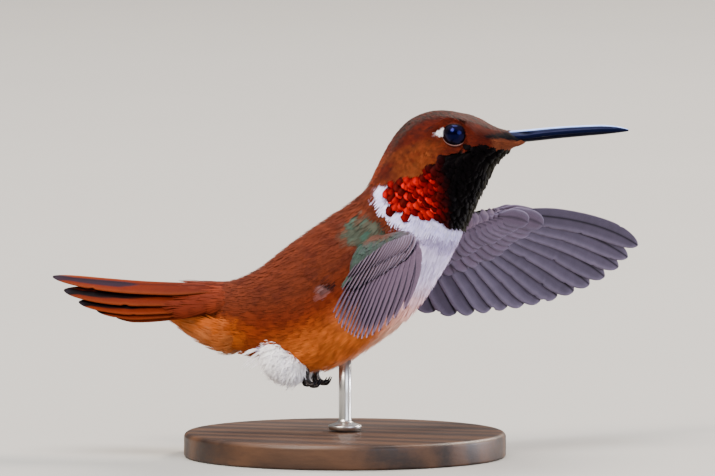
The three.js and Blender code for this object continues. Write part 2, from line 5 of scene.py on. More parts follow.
import bpy
import numpy as np
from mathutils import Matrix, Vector


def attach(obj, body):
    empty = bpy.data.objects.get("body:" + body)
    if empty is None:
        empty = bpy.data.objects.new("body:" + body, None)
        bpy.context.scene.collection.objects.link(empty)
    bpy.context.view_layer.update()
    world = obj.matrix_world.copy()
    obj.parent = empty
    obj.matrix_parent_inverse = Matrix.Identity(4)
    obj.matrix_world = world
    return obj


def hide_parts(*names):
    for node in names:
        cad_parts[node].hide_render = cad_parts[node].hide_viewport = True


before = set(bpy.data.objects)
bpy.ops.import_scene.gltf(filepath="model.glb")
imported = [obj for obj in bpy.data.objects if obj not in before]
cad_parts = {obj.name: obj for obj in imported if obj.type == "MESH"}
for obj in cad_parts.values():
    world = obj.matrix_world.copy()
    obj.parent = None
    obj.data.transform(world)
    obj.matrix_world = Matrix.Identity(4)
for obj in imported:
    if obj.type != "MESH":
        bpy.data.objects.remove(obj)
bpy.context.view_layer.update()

mm = 0.001  # metres
chance = np.random.default_rng(11)  # seeded, so that every run grows the same feathers
sides = {"right": -1, "left": 1}  # sign of Y
print("frame loaded:", len(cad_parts), "solids")


def linear(hexColour):
    # an sRGB hex value as linear red, green, blue
    parts = np.array([int(hexColour[i:i + 2], 16) for i in (1, 3, 5)]) / 255
    return np.where(parts <= 0.04045, parts / 12.92, ((parts + 0.055) / 1.055) ** 2.4)


def colours(look):
    # every hex value of a dictionary, turned linear
    return {name: linear(value) for name, value in look.items() if str(value).startswith("#")}


def onSide(place, side):
    # a place of the left side, or its mirror on the right
    return np.array([place[0], side * place[1], place[2]])


def unit(v):
    return v / np.maximum(np.linalg.norm(v, axis=-1, keepdims=True), 1e-9)


def mix(a, b, share):
    return a + (b - a) * share


def blend(tones, colour, shares):
    # a colour or a list of colours mixed with another, by one share for each row
    return mix(tones, colour, np.asarray(shares)[:, None])


def ramp(x, low, high):
    # a soft step from 0 at low to 1 at high
    w = np.clip((np.asarray(x, float) - low) / (high - low), 0, 1)
    return w * w * (3 - 2 * w)


def hump(x, centre, spread):
    return np.exp(-((x - centre) / spread) ** 2)


def onceRound(count):
    # angles once round, up to the one before the first comes again
    return np.linspace(0, 2 * np.pi, count, endpoint=False)


def sideView(xz):
    # [x, z] points as [x, 0, z]
    return np.insert(np.asarray(xz, float), 1, 0, axis=1)


def smoothThrough(points, t):
    # a centripetal spline through given points, with t from 0 at the first to 1 at the last
    p = np.asarray(points, float)
    p = np.vstack([2 * p[0] - p[1], p, 2 * p[-1] - p[-2]])
    where = np.clip(np.asarray(t, float), 0, 1) * (len(p) - 3)
    i = np.minimum(where.astype(int), len(p) - 4)
    w = (where - i)[..., None]
    p0, p1, p2, p3 = p[i], p[i + 1], p[i + 2], p[i + 3]
    d0, d1, d2 = [np.sqrt(np.maximum(np.linalg.norm(b - a, axis=-1, keepdims=True), 1e-9))
                  for a, b in ((p0, p1), (p1, p2), (p2, p3))]
    m1 = ((p1 - p0) / d0 - (p2 - p0) / (d0 + d1) + (p2 - p1) / d1) * d1
    m2 = ((p2 - p1) / d1 - (p3 - p1) / (d1 + d2) + (p3 - p2) / d2) * d1
    return p1 + w * m1 + w ** 2 * (3 * (p2 - p1) - 2 * m1 - m2) + w ** 3 * (2 * (p1 - p2) + m1 + m2)


def sideOf(line, x, z):
    # signed distance from a side-view line of [x, z] points, positive on its left
    best = np.full(np.shape(x), 1e9)
    sign = np.ones(np.shape(x))
    for (x0, z0), (x1, z1) in zip(line[:-1], line[1:]):
        dx, dz = x1 - x0, z1 - z0
        w = np.clip(((x - x0) * dx + (z - z0) * dz) / (dx * dx + dz * dz), 0, 1)
        far = np.hypot(x - x0 - w * dx, z - z0 - w * dz)
        turn = np.sign(dx * (z - z0) - dz * (x - x0))
        sign = np.where(far < best, turn, sign)
        best = np.minimum(far, best)
    return best * sign


def gridFaces(rows, columns, closed=False):
    # quads over a grid of points stored row by row
    i, j = np.meshgrid(np.arange(rows - 1), np.arange(columns if closed else columns - 1), indexing="ij")
    here, beside = i * columns + j, i * columns + (j + 1) % columns
    return np.stack([here, beside, beside + columns, here + columns], -1).reshape(-1, 4)


def closeEnds(points, rows, columns, ends):
    # adds a middle point at each end of a closed grid and the triangles that cap it
    points = np.vstack([points.reshape(-1, 3), ends])
    loop = np.arange(columns)
    after = (loop + 1) % columns
    last = (rows - 1) * columns
    caps = np.concatenate([np.stack([after, loop, np.full(columns, len(points) - 2)], -1),
                           np.stack([last + loop, last + after, np.full(columns, len(points) - 1)], -1)])
    return points, [gridFaces(rows, columns, closed=True), caps]


def makePiece(name, points, faces, material, nodes=(), tint=None, bake=None, barb=None):
    # faces is one array of quads or triangles, or a list of such arrays
    groups = faces if isinstance(faces, list) else [faces]
    mesh = bpy.data.meshes.new(name)
    corners = np.concatenate([g.ravel() for g in groups]).astype(np.int32)
    sizes = np.concatenate([np.full(len(g), g.shape[1]) for g in groups])
    mesh.vertices.add(len(points))
    mesh.vertices.foreach_set("co", (np.asarray(points) * mm).astype(np.float32).ravel())
    mesh.loops.add(len(corners))
    mesh.loops.foreach_set("vertex_index", corners)
    mesh.polygons.add(len(sizes))
    mesh.polygons.foreach_set("loop_start", np.concatenate([[0], np.cumsum(sizes)[:-1]]).astype(np.int32))
    if tint is not None:
        layer = mesh.color_attributes.new("plumage", "FLOAT_COLOR", "POINT")
        rgba = np.column_stack([np.clip(tint, 0, 1), np.ones(len(tint))])
        layer.data.foreach_set("color", rgba.astype(np.float32).ravel())
    if barb is not None:
        layer = mesh.attributes.new("barb", "FLOAT_VECTOR", "POINT")
        layer.data.foreach_set("vector", np.asarray(barb, np.float32).ravel())
    if bake is not None:
        layer = mesh.uv_layers.new(name="OFBake")
        layer.data.foreach_set("uv", np.asarray(bake, np.float32)[corners].ravel())
    mesh.update()
    mesh.validate()
    mesh.shade_smooth()
    mesh.materials.append(material)
    piece = bpy.data.objects.new(name, mesh)
    bpy.context.scene.collection.objects.link(piece)
    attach(piece, "root")
    if nodes:
        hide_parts(*nodes)


def addNode(tree, kind, settings=None, links=None):
    # settings go to the node's own fields, or to inputs by name or number
    # links feed inputs from other sockets
    node = tree.nodes.new(kind)
    for key, value in (settings or {}).items():
        if isinstance(key, str) and hasattr(node, key):
            setattr(node, key, value)
        else:
            node.inputs[key].default_value = value
    for key, socket in (links or {}).items():
        tree.links.new(socket, node.inputs[key])
    return node


def newMaterial(name):
    material = bpy.data.materials.new(name)
    material.use_nodes = True
    material.node_tree.nodes.clear()
    return material, material.node_tree


def ending(tree, shader):
    addNode(tree, "ShaderNodeOutputMaterial", links={"Surface": shader.outputs[0]})


def opaque(rgb):
    return (*[float(c) for c in rgb], 1.0)


def mottledTint(tree, size, amount, stretch=(1.0, 1.0, 1.0)):
    # the painted plumage colour, broken up by a noise of the given size in millimetres, and that noise
    tint = addNode(tree, "ShaderNodeAttribute", {"attribute_name": "plumage"})
    spot = addNode(tree, "ShaderNodeTexCoord")
    lie = addNode(tree, "ShaderNodeMapping", {"Scale": stretch}, {0: spot.outputs["Object"]})
    noise = addNode(tree, "ShaderNodeTexNoise", {"Scale": 1000 / size, "Detail": 3.0},
                    {"Vector": lie.outputs[0]})
    tone = addNode(tree, "ShaderNodeMapRange",
                   {"From Min": 0.25, "From Max": 0.75, "To Min": 1 - amount, "To Max": 1 + amount},
                   {"Value": noise.outputs["Fac"]})
    colour = addNode(tree, "ShaderNodeVectorMath", {"operation": "SCALE"},
                     {0: tint.outputs["Color"], "Scale": tone.outputs[0]})
    return colour.outputs[0], noise.outputs["Fac"]


def unevenFinish(tree, pattern, low, high, strength, depth):
    # a roughness from low to high and a relief of some depth in millimetres, both following one pattern
    rough = addNode(tree, "ShaderNodeMapRange", {"To Min": low, "To Max": high}, {"Value": pattern})
    bump = addNode(tree, "ShaderNodeBump", {"Strength": strength, "Distance": depth * mm},
                   {"Height": pattern})
    return {"Roughness": rough.outputs[0], "Normal": bump.outputs[0]}


def glowThrough(tree, surface, colour, share):
    # feathers are thin, so a share of the light comes through from behind
    through = addNode(tree, "ShaderNodeBsdfTranslucent", links={"Color": colour})
    both = addNode(tree, "ShaderNodeMixShader", {0: share}, {1: surface.outputs[0], 2: through.outputs[0]})
    ending(tree, both)


def softPlumage(name, roughness, sheen, glow):
    # contour feathers: loose barbs that scatter light, so they look matt and velvety, pale at the outline
    material, tree = newMaterial(name)
    colour, _ = mottledTint(tree, 1.5, 0.16)
    surface = addNode(tree, "ShaderNodeBsdfPrincipled",
                      {"Roughness": roughness, "IOR": 1.54, "Specular IOR Level": 0.1, "Sheen Weight": sheen,
                       "Sheen Roughness": 0.35, "Sheen Tint": opaque(linear("#f6dccf"))},
                      {"Base Color": colour})
    glowThrough(tree, surface, colour, glow)
    return material


def foilPlumage(name, metallic, roughness, specular):
    # structural colour: flattened barbules that shine like foil, broken up by the barbs along each feather
    material, tree = newMaterial(name)
    colour, barbs = mottledTint(tree, 0.3, 0.2)
    finish = unevenFinish(tree, barbs, roughness - 0.12, roughness + 0.12, 0.35, 0.04)
    surface = addNode(tree, "ShaderNodeBsdfPrincipled",
                      {"Metallic": metallic, "IOR": 1.56, "Specular IOR Level": specular},
                      {"Base Color": colour, **finish})
    ending(tree, surface)
    return material


vaneLook = {
    "barbSpacing": 0.2,  # mm; real barbs are nearer 0.04, drawn coarse enough to show
    "barbSlant": 0.9,  # how far along the shaft a barb runs for each millimetre out from it
}
waveRepeat = 0.314  # a wave texture of scale 1 repeats after this many metres


def stiffVanes(name, roughness, sheen, glow, sheenColour):
    # flight feathers: close barbs either side of a shaft, smooth enough for a long soft highlight
    material, tree = newMaterial(name)
    tint, _ = mottledTint(tree, 1.6, 0.12)
    lie = addNode(tree, "ShaderNodeAttribute", {"attribute_name": "barb"})
    stripes = addNode(tree, "ShaderNodeTexWave",
                      {"wave_type": "BANDS", "bands_direction": "X", "Distortion": 1.5, "Detail": 2.0,
                       "Detail Scale": 0.6, "Scale": waveRepeat / vaneLook["barbSpacing"]},
                      {"Vector": lie.outputs["Vector"]})
    tone = addNode(tree, "ShaderNodeMapRange", {"To Min": 0.84, "To Max": 1.14},
                   {"Value": stripes.outputs["Fac"]})
    colour = addNode(tree, "ShaderNodeVectorMath", {"operation": "SCALE"},
                     {0: tint, "Scale": tone.outputs[0]})
    bump = addNode(tree, "ShaderNodeBump", {"Strength": 0.5, "Distance": 0.03 * mm},
                   {"Height": stripes.outputs["Fac"]})
    surface = addNode(tree, "ShaderNodeBsdfPrincipled",
                      {"Roughness": roughness, "IOR": 1.54, "Specular IOR Level": 0.05, "Sheen Weight": sheen,
                       "Sheen Roughness": 0.4, "Sheen Tint": opaque(linear(sheenColour))},
                      {"Base Color": colour.outputs[0], "Normal": bump.outputs[0]})
    glowThrough(tree, surface, colour.outputs[0], glow)
    return material


def bareSkin(name, roughness, scaleSize, depth, specular=0.35):
    # thin skin: finely pebbled where it shows on toes and lids, matt where it only shades the coat's gaps
    material, tree = newMaterial(name)
    tint = addNode(tree, "ShaderNodeAttribute", {"attribute_name": "plumage"})
    spot = addNode(tree, "ShaderNodeTexCoord")
    scales = addNode(tree, "ShaderNodeTexVoronoi", {"Scale": 1000 / scaleSize},
                     {"Vector": spot.outputs["Object"]})
    tone = addNode(tree, "ShaderNodeMapRange", {"From Max": 0.7, "To Min": 1.25, "To Max": 0.7},
                   {"Value": scales.outputs["Distance"]})
    colour = addNode(tree, "ShaderNodeVectorMath", {"operation": "SCALE"},
                     {0: tint.outputs["Color"], "Scale": tone.outputs[0]})
    bump = addNode(tree, "ShaderNodeBump", {"Strength": 0.5, "Distance": depth * mm, "invert": True},
                   {"Height": scales.outputs["Distance"]})
    surface = addNode(tree, "ShaderNodeBsdfPrincipled",
                      {"Roughness": roughness, "IOR": 1.45, "Specular IOR Level": specular},
                      {"Base Color": colour.outputs[0], "Normal": bump.outputs[0]})
    ending(tree, surface)
    return material


def keratin(name, roughness, coat):
    # horn of bill and claws: satin, with fine growth lines drawn out along the bill
    material, tree = newMaterial(name)
    colour, lines = mottledTint(tree, 0.25, 0.3, (0.12, 1.0, 1.0))
    finish = unevenFinish(tree, lines, roughness - 0.07, roughness + 0.1, 0.3, 0.03)
    surface = addNode(tree, "ShaderNodeBsdfPrincipled",
                      {"IOR": 1.56, "Specular IOR Level": 0.09, "Specular Tint": opaque(linear("#8f9cff")),
                       "Coat Weight": coat, "Coat Roughness": 0.25},
                      {"Base Color": colour, **finish})
    ending(tree, surface)
    return material


def wetEye(name):
    # a dark brown iris, hard to tell from the pupil, under a wet clear cornea with sharp bluish highlights
    material, tree = newMaterial(name)
    colour, fibres = mottledTint(tree, 0.3, 0.4)
    rough = addNode(tree, "ShaderNodeMapRange", {"To Min": 0.14, "To Max": 0.24}, {"Value": fibres})
    surface = addNode(tree, "ShaderNodeBsdfPrincipled",
                      {"IOR": 1.38, "Specular IOR Level": 0.4, "Specular Tint": opaque(linear("#3c50ff")),
                       "Coat Weight": 0.04, "Coat Roughness": 0.02},
                      {"Base Color": colour, "Roughness": rough.outputs[0]})
    ending(tree, surface)
    return material


walnut = {"dark": "#22140d", "light": "#4a301e", "rings": 6, "pores": 0.6}  # grain sizes in mm


def oiledWalnut(name):
    # turned walnut with an oiled satin finish: brown heartwood, darker pores drawn out along the grain
    material, tree = newMaterial(name)
    spot = addNode(tree, "ShaderNodeTexCoord")
    stretch = addNode(tree, "ShaderNodeMapping", {"Scale": (0.1, 1.0, 1.0)}, {0: spot.outputs["Object"]})
    rings = addNode(tree, "ShaderNodeTexWave",
                    {"wave_type": "BANDS", "bands_direction": "Y", "Distortion": 7.0, "Detail": 4.0,
                     "Detail Scale": 1.6, "Scale": waveRepeat * 1000 / walnut["rings"]},
                    {"Vector": stretch.outputs[0]})
    pores = addNode(tree, "ShaderNodeTexNoise",
                    {"Scale": 1000 / walnut["pores"], "Detail": 6.0, "Roughness": 0.65},
                    {"Vector": stretch.outputs[0]})
    grain = addNode(tree, "ShaderNodeMix", {"data_type": "FLOAT", 0: 0.55},
                    {2: rings.outputs["Fac"], 3: pores.outputs["Fac"]})
    colour = addNode(tree, "ShaderNodeValToRGB", links={"Fac": grain.outputs[0]})
    for element, tone, position in zip(colour.color_ramp.elements, ("dark", "light"), (0.25, 0.75)):
        element.color = opaque(linear(walnut[tone]))
        element.position = position
    finish = unevenFinish(tree, pores.outputs["Fac"], 0.36, 0.6, 0.25, 0.1)
    surface = addNode(tree, "ShaderNodeBsdfPrincipled", {"IOR": 1.5, "Specular IOR Level": 0.35},
                      {"Base Color": colour.outputs[0], **finish})
    ending(tree, surface)
    return material


steel = {"colour": "#c4c3c0", "brushing": 0.12}  # width of a brush line in mm


def brushedSteel(name):
    # drawn stainless rod, finely brushed along its length, so its highlight is a soft line
    material, tree = newMaterial(name)
    spot = addNode(tree, "ShaderNodeTexCoord")
    stretch = addNode(tree, "ShaderNodeMapping", {"Scale": (1.0, 1.0, 0.04)}, {0: spot.outputs["Object"]})
    lines = addNode(tree, "ShaderNodeTexNoise", {"Scale": 1000 / steel["brushing"], "Detail": 3.0},
                    {"Vector": stretch.outputs[0]})
    finish = unevenFinish(tree, lines.outputs["Fac"], 0.22, 0.42, 0.15, 0.02)
    surface = addNode(tree, "ShaderNodeBsdfPrincipled",
                      {"Metallic": 1.0, "Base Color": opaque(linear(steel["colour"]))}, finish)
    ending(tree, surface)
    return material


bodyDown = softPlumage("softContourFeathers", 0.75, 0.14, 0.12)
headDown = softPlumage("shortHeadFeathers", 0.8, 0.04, 0.08)
whiteDown = softPlumage("looseWhiteDown", 0.8, 0.3, 0.25)
gorgetFoil = foilPlumage("iridescentGorgetFeathers", 0.5, 0.58, 0.04)
greenFoil = foilPlumage("iridescentGreenFeathers", 0.35, 0.5, 0.2)
tailVanes = stiffVanes("rufousTailVanes", 0.6, 0.0, 0.12, "#d8a58a")
wingVanes = stiffVanes("duskyWingVanes", 0.5, 0.2, 0.28, "#aaa2cc")
underSkin = bareSkin("skinUnderTheCoat", 0.85, 0.8, 0.08)
toeSkin = bareSkin("scaledToeSkin", 0.45, 0.3, 0.06)
lidSkin = bareSkin("lidSkin", 0.7, 0.22, 0.03, 0.12)
billHorn = keratin("billKeratin", 0.36, 0.02)
clawHorn = keratin("clawKeratin", 0.3, 0.2)
eyeGloss = wetEye("corneaOverDarkIris")
print("materials ready")


eye = {
    "at": (17.6, 3.2, 46.56), "radius": 1.95,
    "forward": 5, "upward": 0.03, "tilt": 4,  # the way it looks, and how much lower the front corner sits
    "rim": 2.05, "part": 1.7,  # how far out the lids reach, and the round that the coat parts for
    "opening": (1.77, 1.33, 1.5),  # half its length, then its height above and below the middle
    "pupil": "#010106", "iris": "#0a0609", "lid": "#140605", "lidPale": "#b08680",
}
bodyShape = {
    # back x, z, belly x, z, half width, and how much wider the lower half is, from rump to bill base
    "stations": [
        (-20.0, 24.2, -24.0, 18.1, 2.4, 0), (-16.4, 25.0, -19.6, 15.4, 4.0, 0),
        (-12.8, 26.7, -13.6, 13.6, 5.4, 0), (-9.5, 29.2, -7.4, 11.9, 6.5, 0.02),
        (-6.0, 31.8, -1.8, 12.3, 7.2, 0.04), (-2.3, 34.3, 4.5, 16.0, 7.7, 0.04),
        (0.8, 36.3, 9.6, 20.0, 7.6, 0.03), (3.2, 38.3, 14.0, 26.0, 6.9, 0),
        (4.6, 40.8, 16.8, 31.0, 5.9, 0), (6.1, 43.7, 18.0, 33.6, 5.3, 0),
        (7.6, 46.1, 19.6, 36.8, 5.2, -0.03), (9.8, 48.3, 21.3, 40.3, 5.2, -0.04),
        (12.8, 49.55, 22.7, 42.7, 5.1, -0.02), (16.1, 49.55, 24.0, 43.9, 4.6, 0),
        (19.5, 48.55, 25.1, 44.6, 3.6, 0), (22.8, 47.3, 26.2, 44.95, 2.2, 0),
        (25.6, 46.9, 27.4, 45.4, 1.1, 0),
    ],
    # low swellings on the head: x, z, height, and how far they spread
    "swellings": [(13.2, 44.2, 0.2, 2.2), (21.4, 46.7, -0.2, 1.1)],
    "brow": (17.4, 48.3, 1.45, 1.6),  # a fullness above the eye: x, z, how far it stands out, and its spread
    "socket": 4.25,  # how far out the skin may lie round the eye
    "coatDepth": 0.6,  # the skin lies this far below the tips of the coat
    "rings": 520, "around": 288,
    "headRing": 300,  # the head starts at this ring
}


def bodyGrid():
    # points over the whole body, t from rump to bill and a once round from the back over the left side
    table = np.array(bodyShape["stations"], float)
    t = np.linspace(0, 1, bodyShape["rings"])
    a = np.linspace(0, 2 * np.pi, bodyShape["around"] + 1)
    back, belly = [smoothThrough(sideView(table[:, k:k + 2]), t) for k in (0, 2)]
    size = smoothThrough(table[:, 4:6], t)
    middle, rise = (back + belly) / 2, (back - belly) / 2
    points = middle[:, None] + rise[:, None] * np.cos(a)[None, :, None]
    points[..., 1] += size[:, :1] * np.sin(a) * (1 - size[:, 1:2] * np.cos(a))
    return points


def bodySlopes(points):
    slopeT = np.gradient(points, axis=0) * (points.shape[0] - 1)
    wrapped = np.concatenate([points[:, -2:-1], points, points[:, 1:2]], axis=1)
    slopeA = (wrapped[:, 2:] - wrapped[:, :-2]) / 2 * (points.shape[1] - 1)
    return slopeT, slopeA, unit(np.cross(slopeT, slopeA))


def bodyFields():
    points = bodyGrid()
    x, y, z = np.moveaxis(points, -1, 0)
    toEye = np.hypot(x - eye["at"][0], z - eye["at"][2])

    def swelling(atX, atZ, height, spread):
        return height * hump(np.hypot(x - atX, z - atZ), 0, spread) * ramp(np.abs(y), 0.8, 2.6)

    relief = 0.2 * hump(toEye, 2.4, 0.6) * ramp(np.abs(y), 2.2, 3.4)  # a low ridge all round the eye
    for place in bodyShape["swellings"]:
        relief = relief + swelling(*place)
    points = points + bodySlopes(points)[2] * relief[..., None]
    points[..., 1] += np.sign(y) * swelling(*bodyShape["brow"])
    # the eye lies in a shallow hollow, so that the cheek doesn't stand over it
    over = np.maximum(np.abs(points[..., 1]) - bodyShape["socket"], 0) * (1 - ramp(toEye, 2.1, 4.6))
    points[..., 1] -= np.sign(y) * over
    slopeT, slopeA, normals = bodySlopes(points)
    return {"points": points, "slopeT": slopeT, "normals": normals,
            "lengthT": np.linalg.norm(slopeT, axis=-1), "lengthA": np.linalg.norm(slopeA, axis=-1)}


def lookUp(grid, t, a):
    # straight-line look-up between the grid's points
    u = np.clip(t, 0, 1) * (grid.shape[0] - 1)
    v = (a % 1) * (grid.shape[1] - 1)
    i = np.minimum(u.astype(int), grid.shape[0] - 2)
    j = np.minimum(v.astype(int), grid.shape[1] - 2)
    fu, fv = u - i, v - j
    if grid.ndim == 3:
        fu, fv = fu[..., None], fv[..., None]
    return (grid[i, j] * (1 - fu) * (1 - fv) + grid[i + 1, j] * fu * (1 - fv)
            + grid[i, j + 1] * (1 - fu) * fv + grid[i + 1, j + 1] * fu * fv)


body = bodyFields()


def onBody(t, a, lift):
    # a point at a height over the body's outline; past either end it goes straight on
    past = (t - np.clip(t, 0, 1))[..., None]
    return (lookUp(body["points"], t, a) + lookUp(body["normals"], t, a) * np.asarray(lift)[..., None]
            + lookUp(body["slopeT"], t, a) * past)


def bodyScale(t, a):
    return lookUp(body["lengthT"], t, a), np.maximum(lookUp(body["lengthA"], t, a), 2)


def bodyPlace(t, a):
    # where a root lies on the skin laid out flat, for the bake map
    return np.stack([0.02 + 0.96 * (a % 1), 0.02 + 0.96 * np.clip(t, 0, 1)], -1)


# A surface that feathers grow on: its points by two coordinates and a height, millimetres for each unit of
# the coordinates, and the place on the bake map. Feathers point the way the first coordinate falls.
bodySurface = {"point": onBody, "scale": bodyScale, "flat": bodyPlace}

plumage = {
    "back": "#59230f", "backDark": "#380d06", "flank": "#722404", "belly": "#de762c", "bellyPaleAndRimLight": "#f0c8b0",
    "breastPink": "#dfa8a0", "breast": "#dcd0f0", "collar": "#dcd6ff", "collarShade": "#8f82ac",
    "face": "#4c1203", "faceDark": "#280702", "faceLight": "#7a3c18", "crown": "#231d1a", "nape": "#481205",
    "lores": "#340702", "eyeSpot": "#fbf8ff", "gape": "#020208", "chin": "#6c3620", "green": "#2c5046",
    "vent": "#ba5c16", "ventPaleAndRimLight": "#f0c890", "flankSpot": "#d8cfdc", "paintedShadeUnderGorget": "#060101",
}
marks = {
    # x, z and radius of small marks
    "flankPale": (-0.9, 24.1, 1.4), "flankDark": (0.15, 25.1, 1.25), "whiteByLeg": (-10.2, 14.6, 1.5),
    "shoulder": (5.0, 32.8, 4.0, 2.7),  # x, z, half length and half height of the green patch
    "eyeSpot": (14.2, 46.65, 0.1),  # x and z where the spot behind the eye starts, and its rise
}
# side-view lines that bound the markings
throatTop = [(27.4, 43.8), (25.3, 44.65), (24.0, 44.9), (23.1, 45.25), (22.7, 45.75), (21.2, 45.65),
             (19.9, 45.2), (18.5, 44.6), (17.1, 44.2), (16.2, 43.6), (15.3, 43.2), (12.9, 41.7), (9.9, 40.8),
             (7.3, 39.6)]
throatFoot = [(6.2, 40.4), (6.7, 38.1), (7.9, 36.3), (9.7, 35.2), (12.0, 34.6), (14.6, 34.2), (16.6, 32.5),
              (19.8, 31.6)]
collarFoot = [(5.4, 40.2), (5.7, 38.6), (6.0, 37.3), (6.9, 35.7), (8.4, 34.4), (9.9, 33.5), (12.9, 32.7),
              (15.9, 32.1), (19.5, 30.4)]
hornTop = [(22.0, 46.45), (26.6, 47.05)]  # the bare base of the bill runs back between these two
hornFoot = [(22.0, 46.25), (26.6, 45.7)]


def inThroat(x, z):
    # millimetres inside the gorget's edge, negative outside it
    return np.minimum(sideOf(throatTop, x, z), sideOf(throatFoot, x, z))


def markings(p, a):
    # the coat's colour at points on the body; a is once round from the back
    x, y, z = np.moveaxis(p, -1, 0)
    c = colours(plumage)
    under = (1 - np.cos(2 * np.pi * a)) / 2  # 0 along the back, 1 along the belly
    tone = np.broadcast_to(c["back"], p.shape).copy()

    def paint(name, share):
        tone[:] = tone + (c[name] - tone) * np.clip(share, 0, 1)[..., None]

    def waves(long, seed):
        # smooth patches about long millimetres across, between -1 and 1
        k = 2 * math.pi / long
        bend = np.sin(z * k * 0.6 + seed)
        return np.sin(x * k + 2.1 * bend) * np.sin((z + 0.7 * y) * k * 0.9 + 1.7 * np.sin(x * k * 0.5 + seed))

    paint("backDark", 0.4 * ramp(waves(7, 1), 0.1, 0.9) * ramp(0.7 - under, 0, 0.3))
    paint("flank", ramp(under, 0.35, 0.72) * (1 - 0.3 * ramp(waves(5, 2), 0.1, 0.9)))
    paint("belly", ramp(under, 0.55, 0.9) * ramp(x, -13, -5) * (0.8 + 0.2 * waves(3, 4)))
    # a pale band along the belly's middle, which from the side is its outline: partly the paler belly, partly
    # a painted rim light
    paint("bellyPaleAndRimLight", 0.85 * ramp(under, mix(0.975, 0.88, ramp(x, 3, 11)), 1.02) * ramp(x, -9, 0))
    below = -sideOf(throatFoot, x, z)  # millimetres below the gorget
    paint("breastPink", ramp(18.5 - below, 0, 7) * ramp(under, 0.6, 0.92) * ramp(below, -1, 0))
    paint("breast", ramp(14.0 - below, 0, 8) * ramp(under, 0.5, 0.8) * ramp(below, -1, 0))
    inCollar = sideOf(collarFoot, x, z)  # millimetres above the collar's lower edge
    # painted shadow: a darker lavender band just under the collar's lower edge
    paint("collarShade", 0.75 * hump(inCollar, -0.6, 0.7) * ramp(under, 0.5, 0.65) * ramp(35 - z, 0, 2))
    aroundNeck = ramp(inCollar, -0.2, 0.35) * ramp(below, -1.5, -0.2) * ramp(39.0 - z, -0.1, 0.5)
    paint("collar", aroundNeck * ramp(under, 0.1, 0.2))
    paint("vent", ramp(-x, 11, 16.5) * ramp(under, 0.45, 0.8))

    above = -sideOf(throatTop, x, z)  # millimetres above the gorget
    head = ramp(above, -1.5, -1.0) * ramp(z, 39, 41.5) * ramp(x, 5.0, 7.0)
    paint("nape", head)
    paint("face", head * ramp(x, 8, 11))
    flow = x * 0.75 - z * 0.66  # streaks on the cheek run back and down
    streak = np.sin(flow * 3.9 + 1.5 * np.sin((x * 0.66 + z * 0.75) * 0.9)) * waves(4, 3)
    paint("faceDark", head * 0.55 * ramp(streak, 0.1, 0.7))
    lowCheek = head * ramp(3.4 - above, 0, 2.6) * ramp(17.5 - x, 0, 4) * ramp(x, 7.5, 10)
    paint("faceLight", lowCheek * (0.55 + 0.35 * streak))
    behindEye = ramp(1.2 - np.abs(z - 45.4 - 0.35 * (x - 14)), 0, 1) * ramp(15.5 - x, 0, 3)
    paint("faceLight", head * 0.35 * behindEye)
    paint("lores", head * 0.6 * ramp(x, 20.2, 22) * ramp(1.2 - np.abs(z - 46.1), 0, 0.9))
    paint("crown", head * ramp(0.14 - under, 0, 0.05) * ramp(x, 5.5, 9.5) * (0.8 + 0.2 * waves(1.6, 5)))
    paint("chin", ramp(x, 22.9, 23.6) * ramp(under, 0.45, 0.6) * ramp(z, 43, 44))
    horn = ramp(np.minimum(-sideOf(hornTop, x, z), sideOf(hornFoot, x, z)), -0.15, 0.05) * ramp(x, 22.0, 22.5)
    paint("gape", ramp(above, -0.4, 0.1) * horn)

    atX, atZ, rise = marks["eyeSpot"]
    widening = 0.78 * np.clip((x - atX - 0.3) / 1.6, 0, 1) ** 0.9
    offLine = np.abs(z - atZ - rise * (x - atX))
    spot = ramp(widening - offLine, -0.05, 0.15) * ramp(16.5 - x, 0, 0.2) * ramp(x, atX + 0.1, atX + 0.4)
    paint("eyeSpot", head * spot)

    def within(name, tall=1.0):
        # millimetres inside the edge of a round mark
        atX, atZ, radius = marks[name]
        return radius - np.hypot(x - atX, tall * (z - atZ))

    onLeft = 50 * (y > 0)  # keeps the marks on the flank to the right side
    paint("flankSpot", 0.15 * ramp(within("flankPale", 1.4) - onLeft, -0.1, 1.2))
    paint("gape", 0.95 * ramp(within("flankDark") - onLeft, -0.2, 0.8))
    paint("collar", ramp(within("whiteByLeg"), 0.1, 0.6) * ramp(np.abs(y), 1.5, 2))
    atX, atZ, long, tall = marks["shoulder"]
    shoulder = ramp(1 - np.hypot((x - atX) / long, (z - atZ) / tall), 0, 0.35) * ramp(np.abs(y), 4.0, 5.5)
    paint("green", shoulder * (0.65 + 0.3 * waves(2.4, 6)))
    return tone


def barbedPlume(strips, ragged, tip, fan=1.0):
    # a soft feather as narrow strips of barbs that fan from the shaft and part at the tip
    # along 0 to 1 from root to tip, across -0.5 to 0.5, height over the surface in widths
    steps = np.array([0, 0.34, 0.7, 1.0])
    wide = np.array([0.75, 1.35, 1.1, tip]) / strips
    points, tone = [], []
    for q in np.linspace(-1, 1, strips):
        end = 1 - 0.22 * q * q - ragged * chance.random()
        out = q * 0.5 * fan * (1 + 0.08 * chance.normal())
        centre = mix(q * 0.14, out, steps ** 0.8)
        high = -0.1 * q * q * steps + 0.02 * chance.normal() * steps
        shade = (1 + 0.05 * chance.normal()) * (0.9 + 0.14 * steps)
        for edge in (-0.5, 0.5):
            points.append(np.stack([steps * end, centre + edge * wide, high], -1))
            tone.append(shade)
    points = np.array(points).reshape(strips, 2, 4, 3).transpose(0, 2, 1, 3).reshape(-1, 3)
    tone = np.array(tone).reshape(strips, 2, 4).transpose(0, 2, 1).reshape(-1, 1)
    return {"points": points, "faces": np.concatenate([gridFaces(4, 2) + 8 * k for k in range(strips)]),
            "tone": tone}


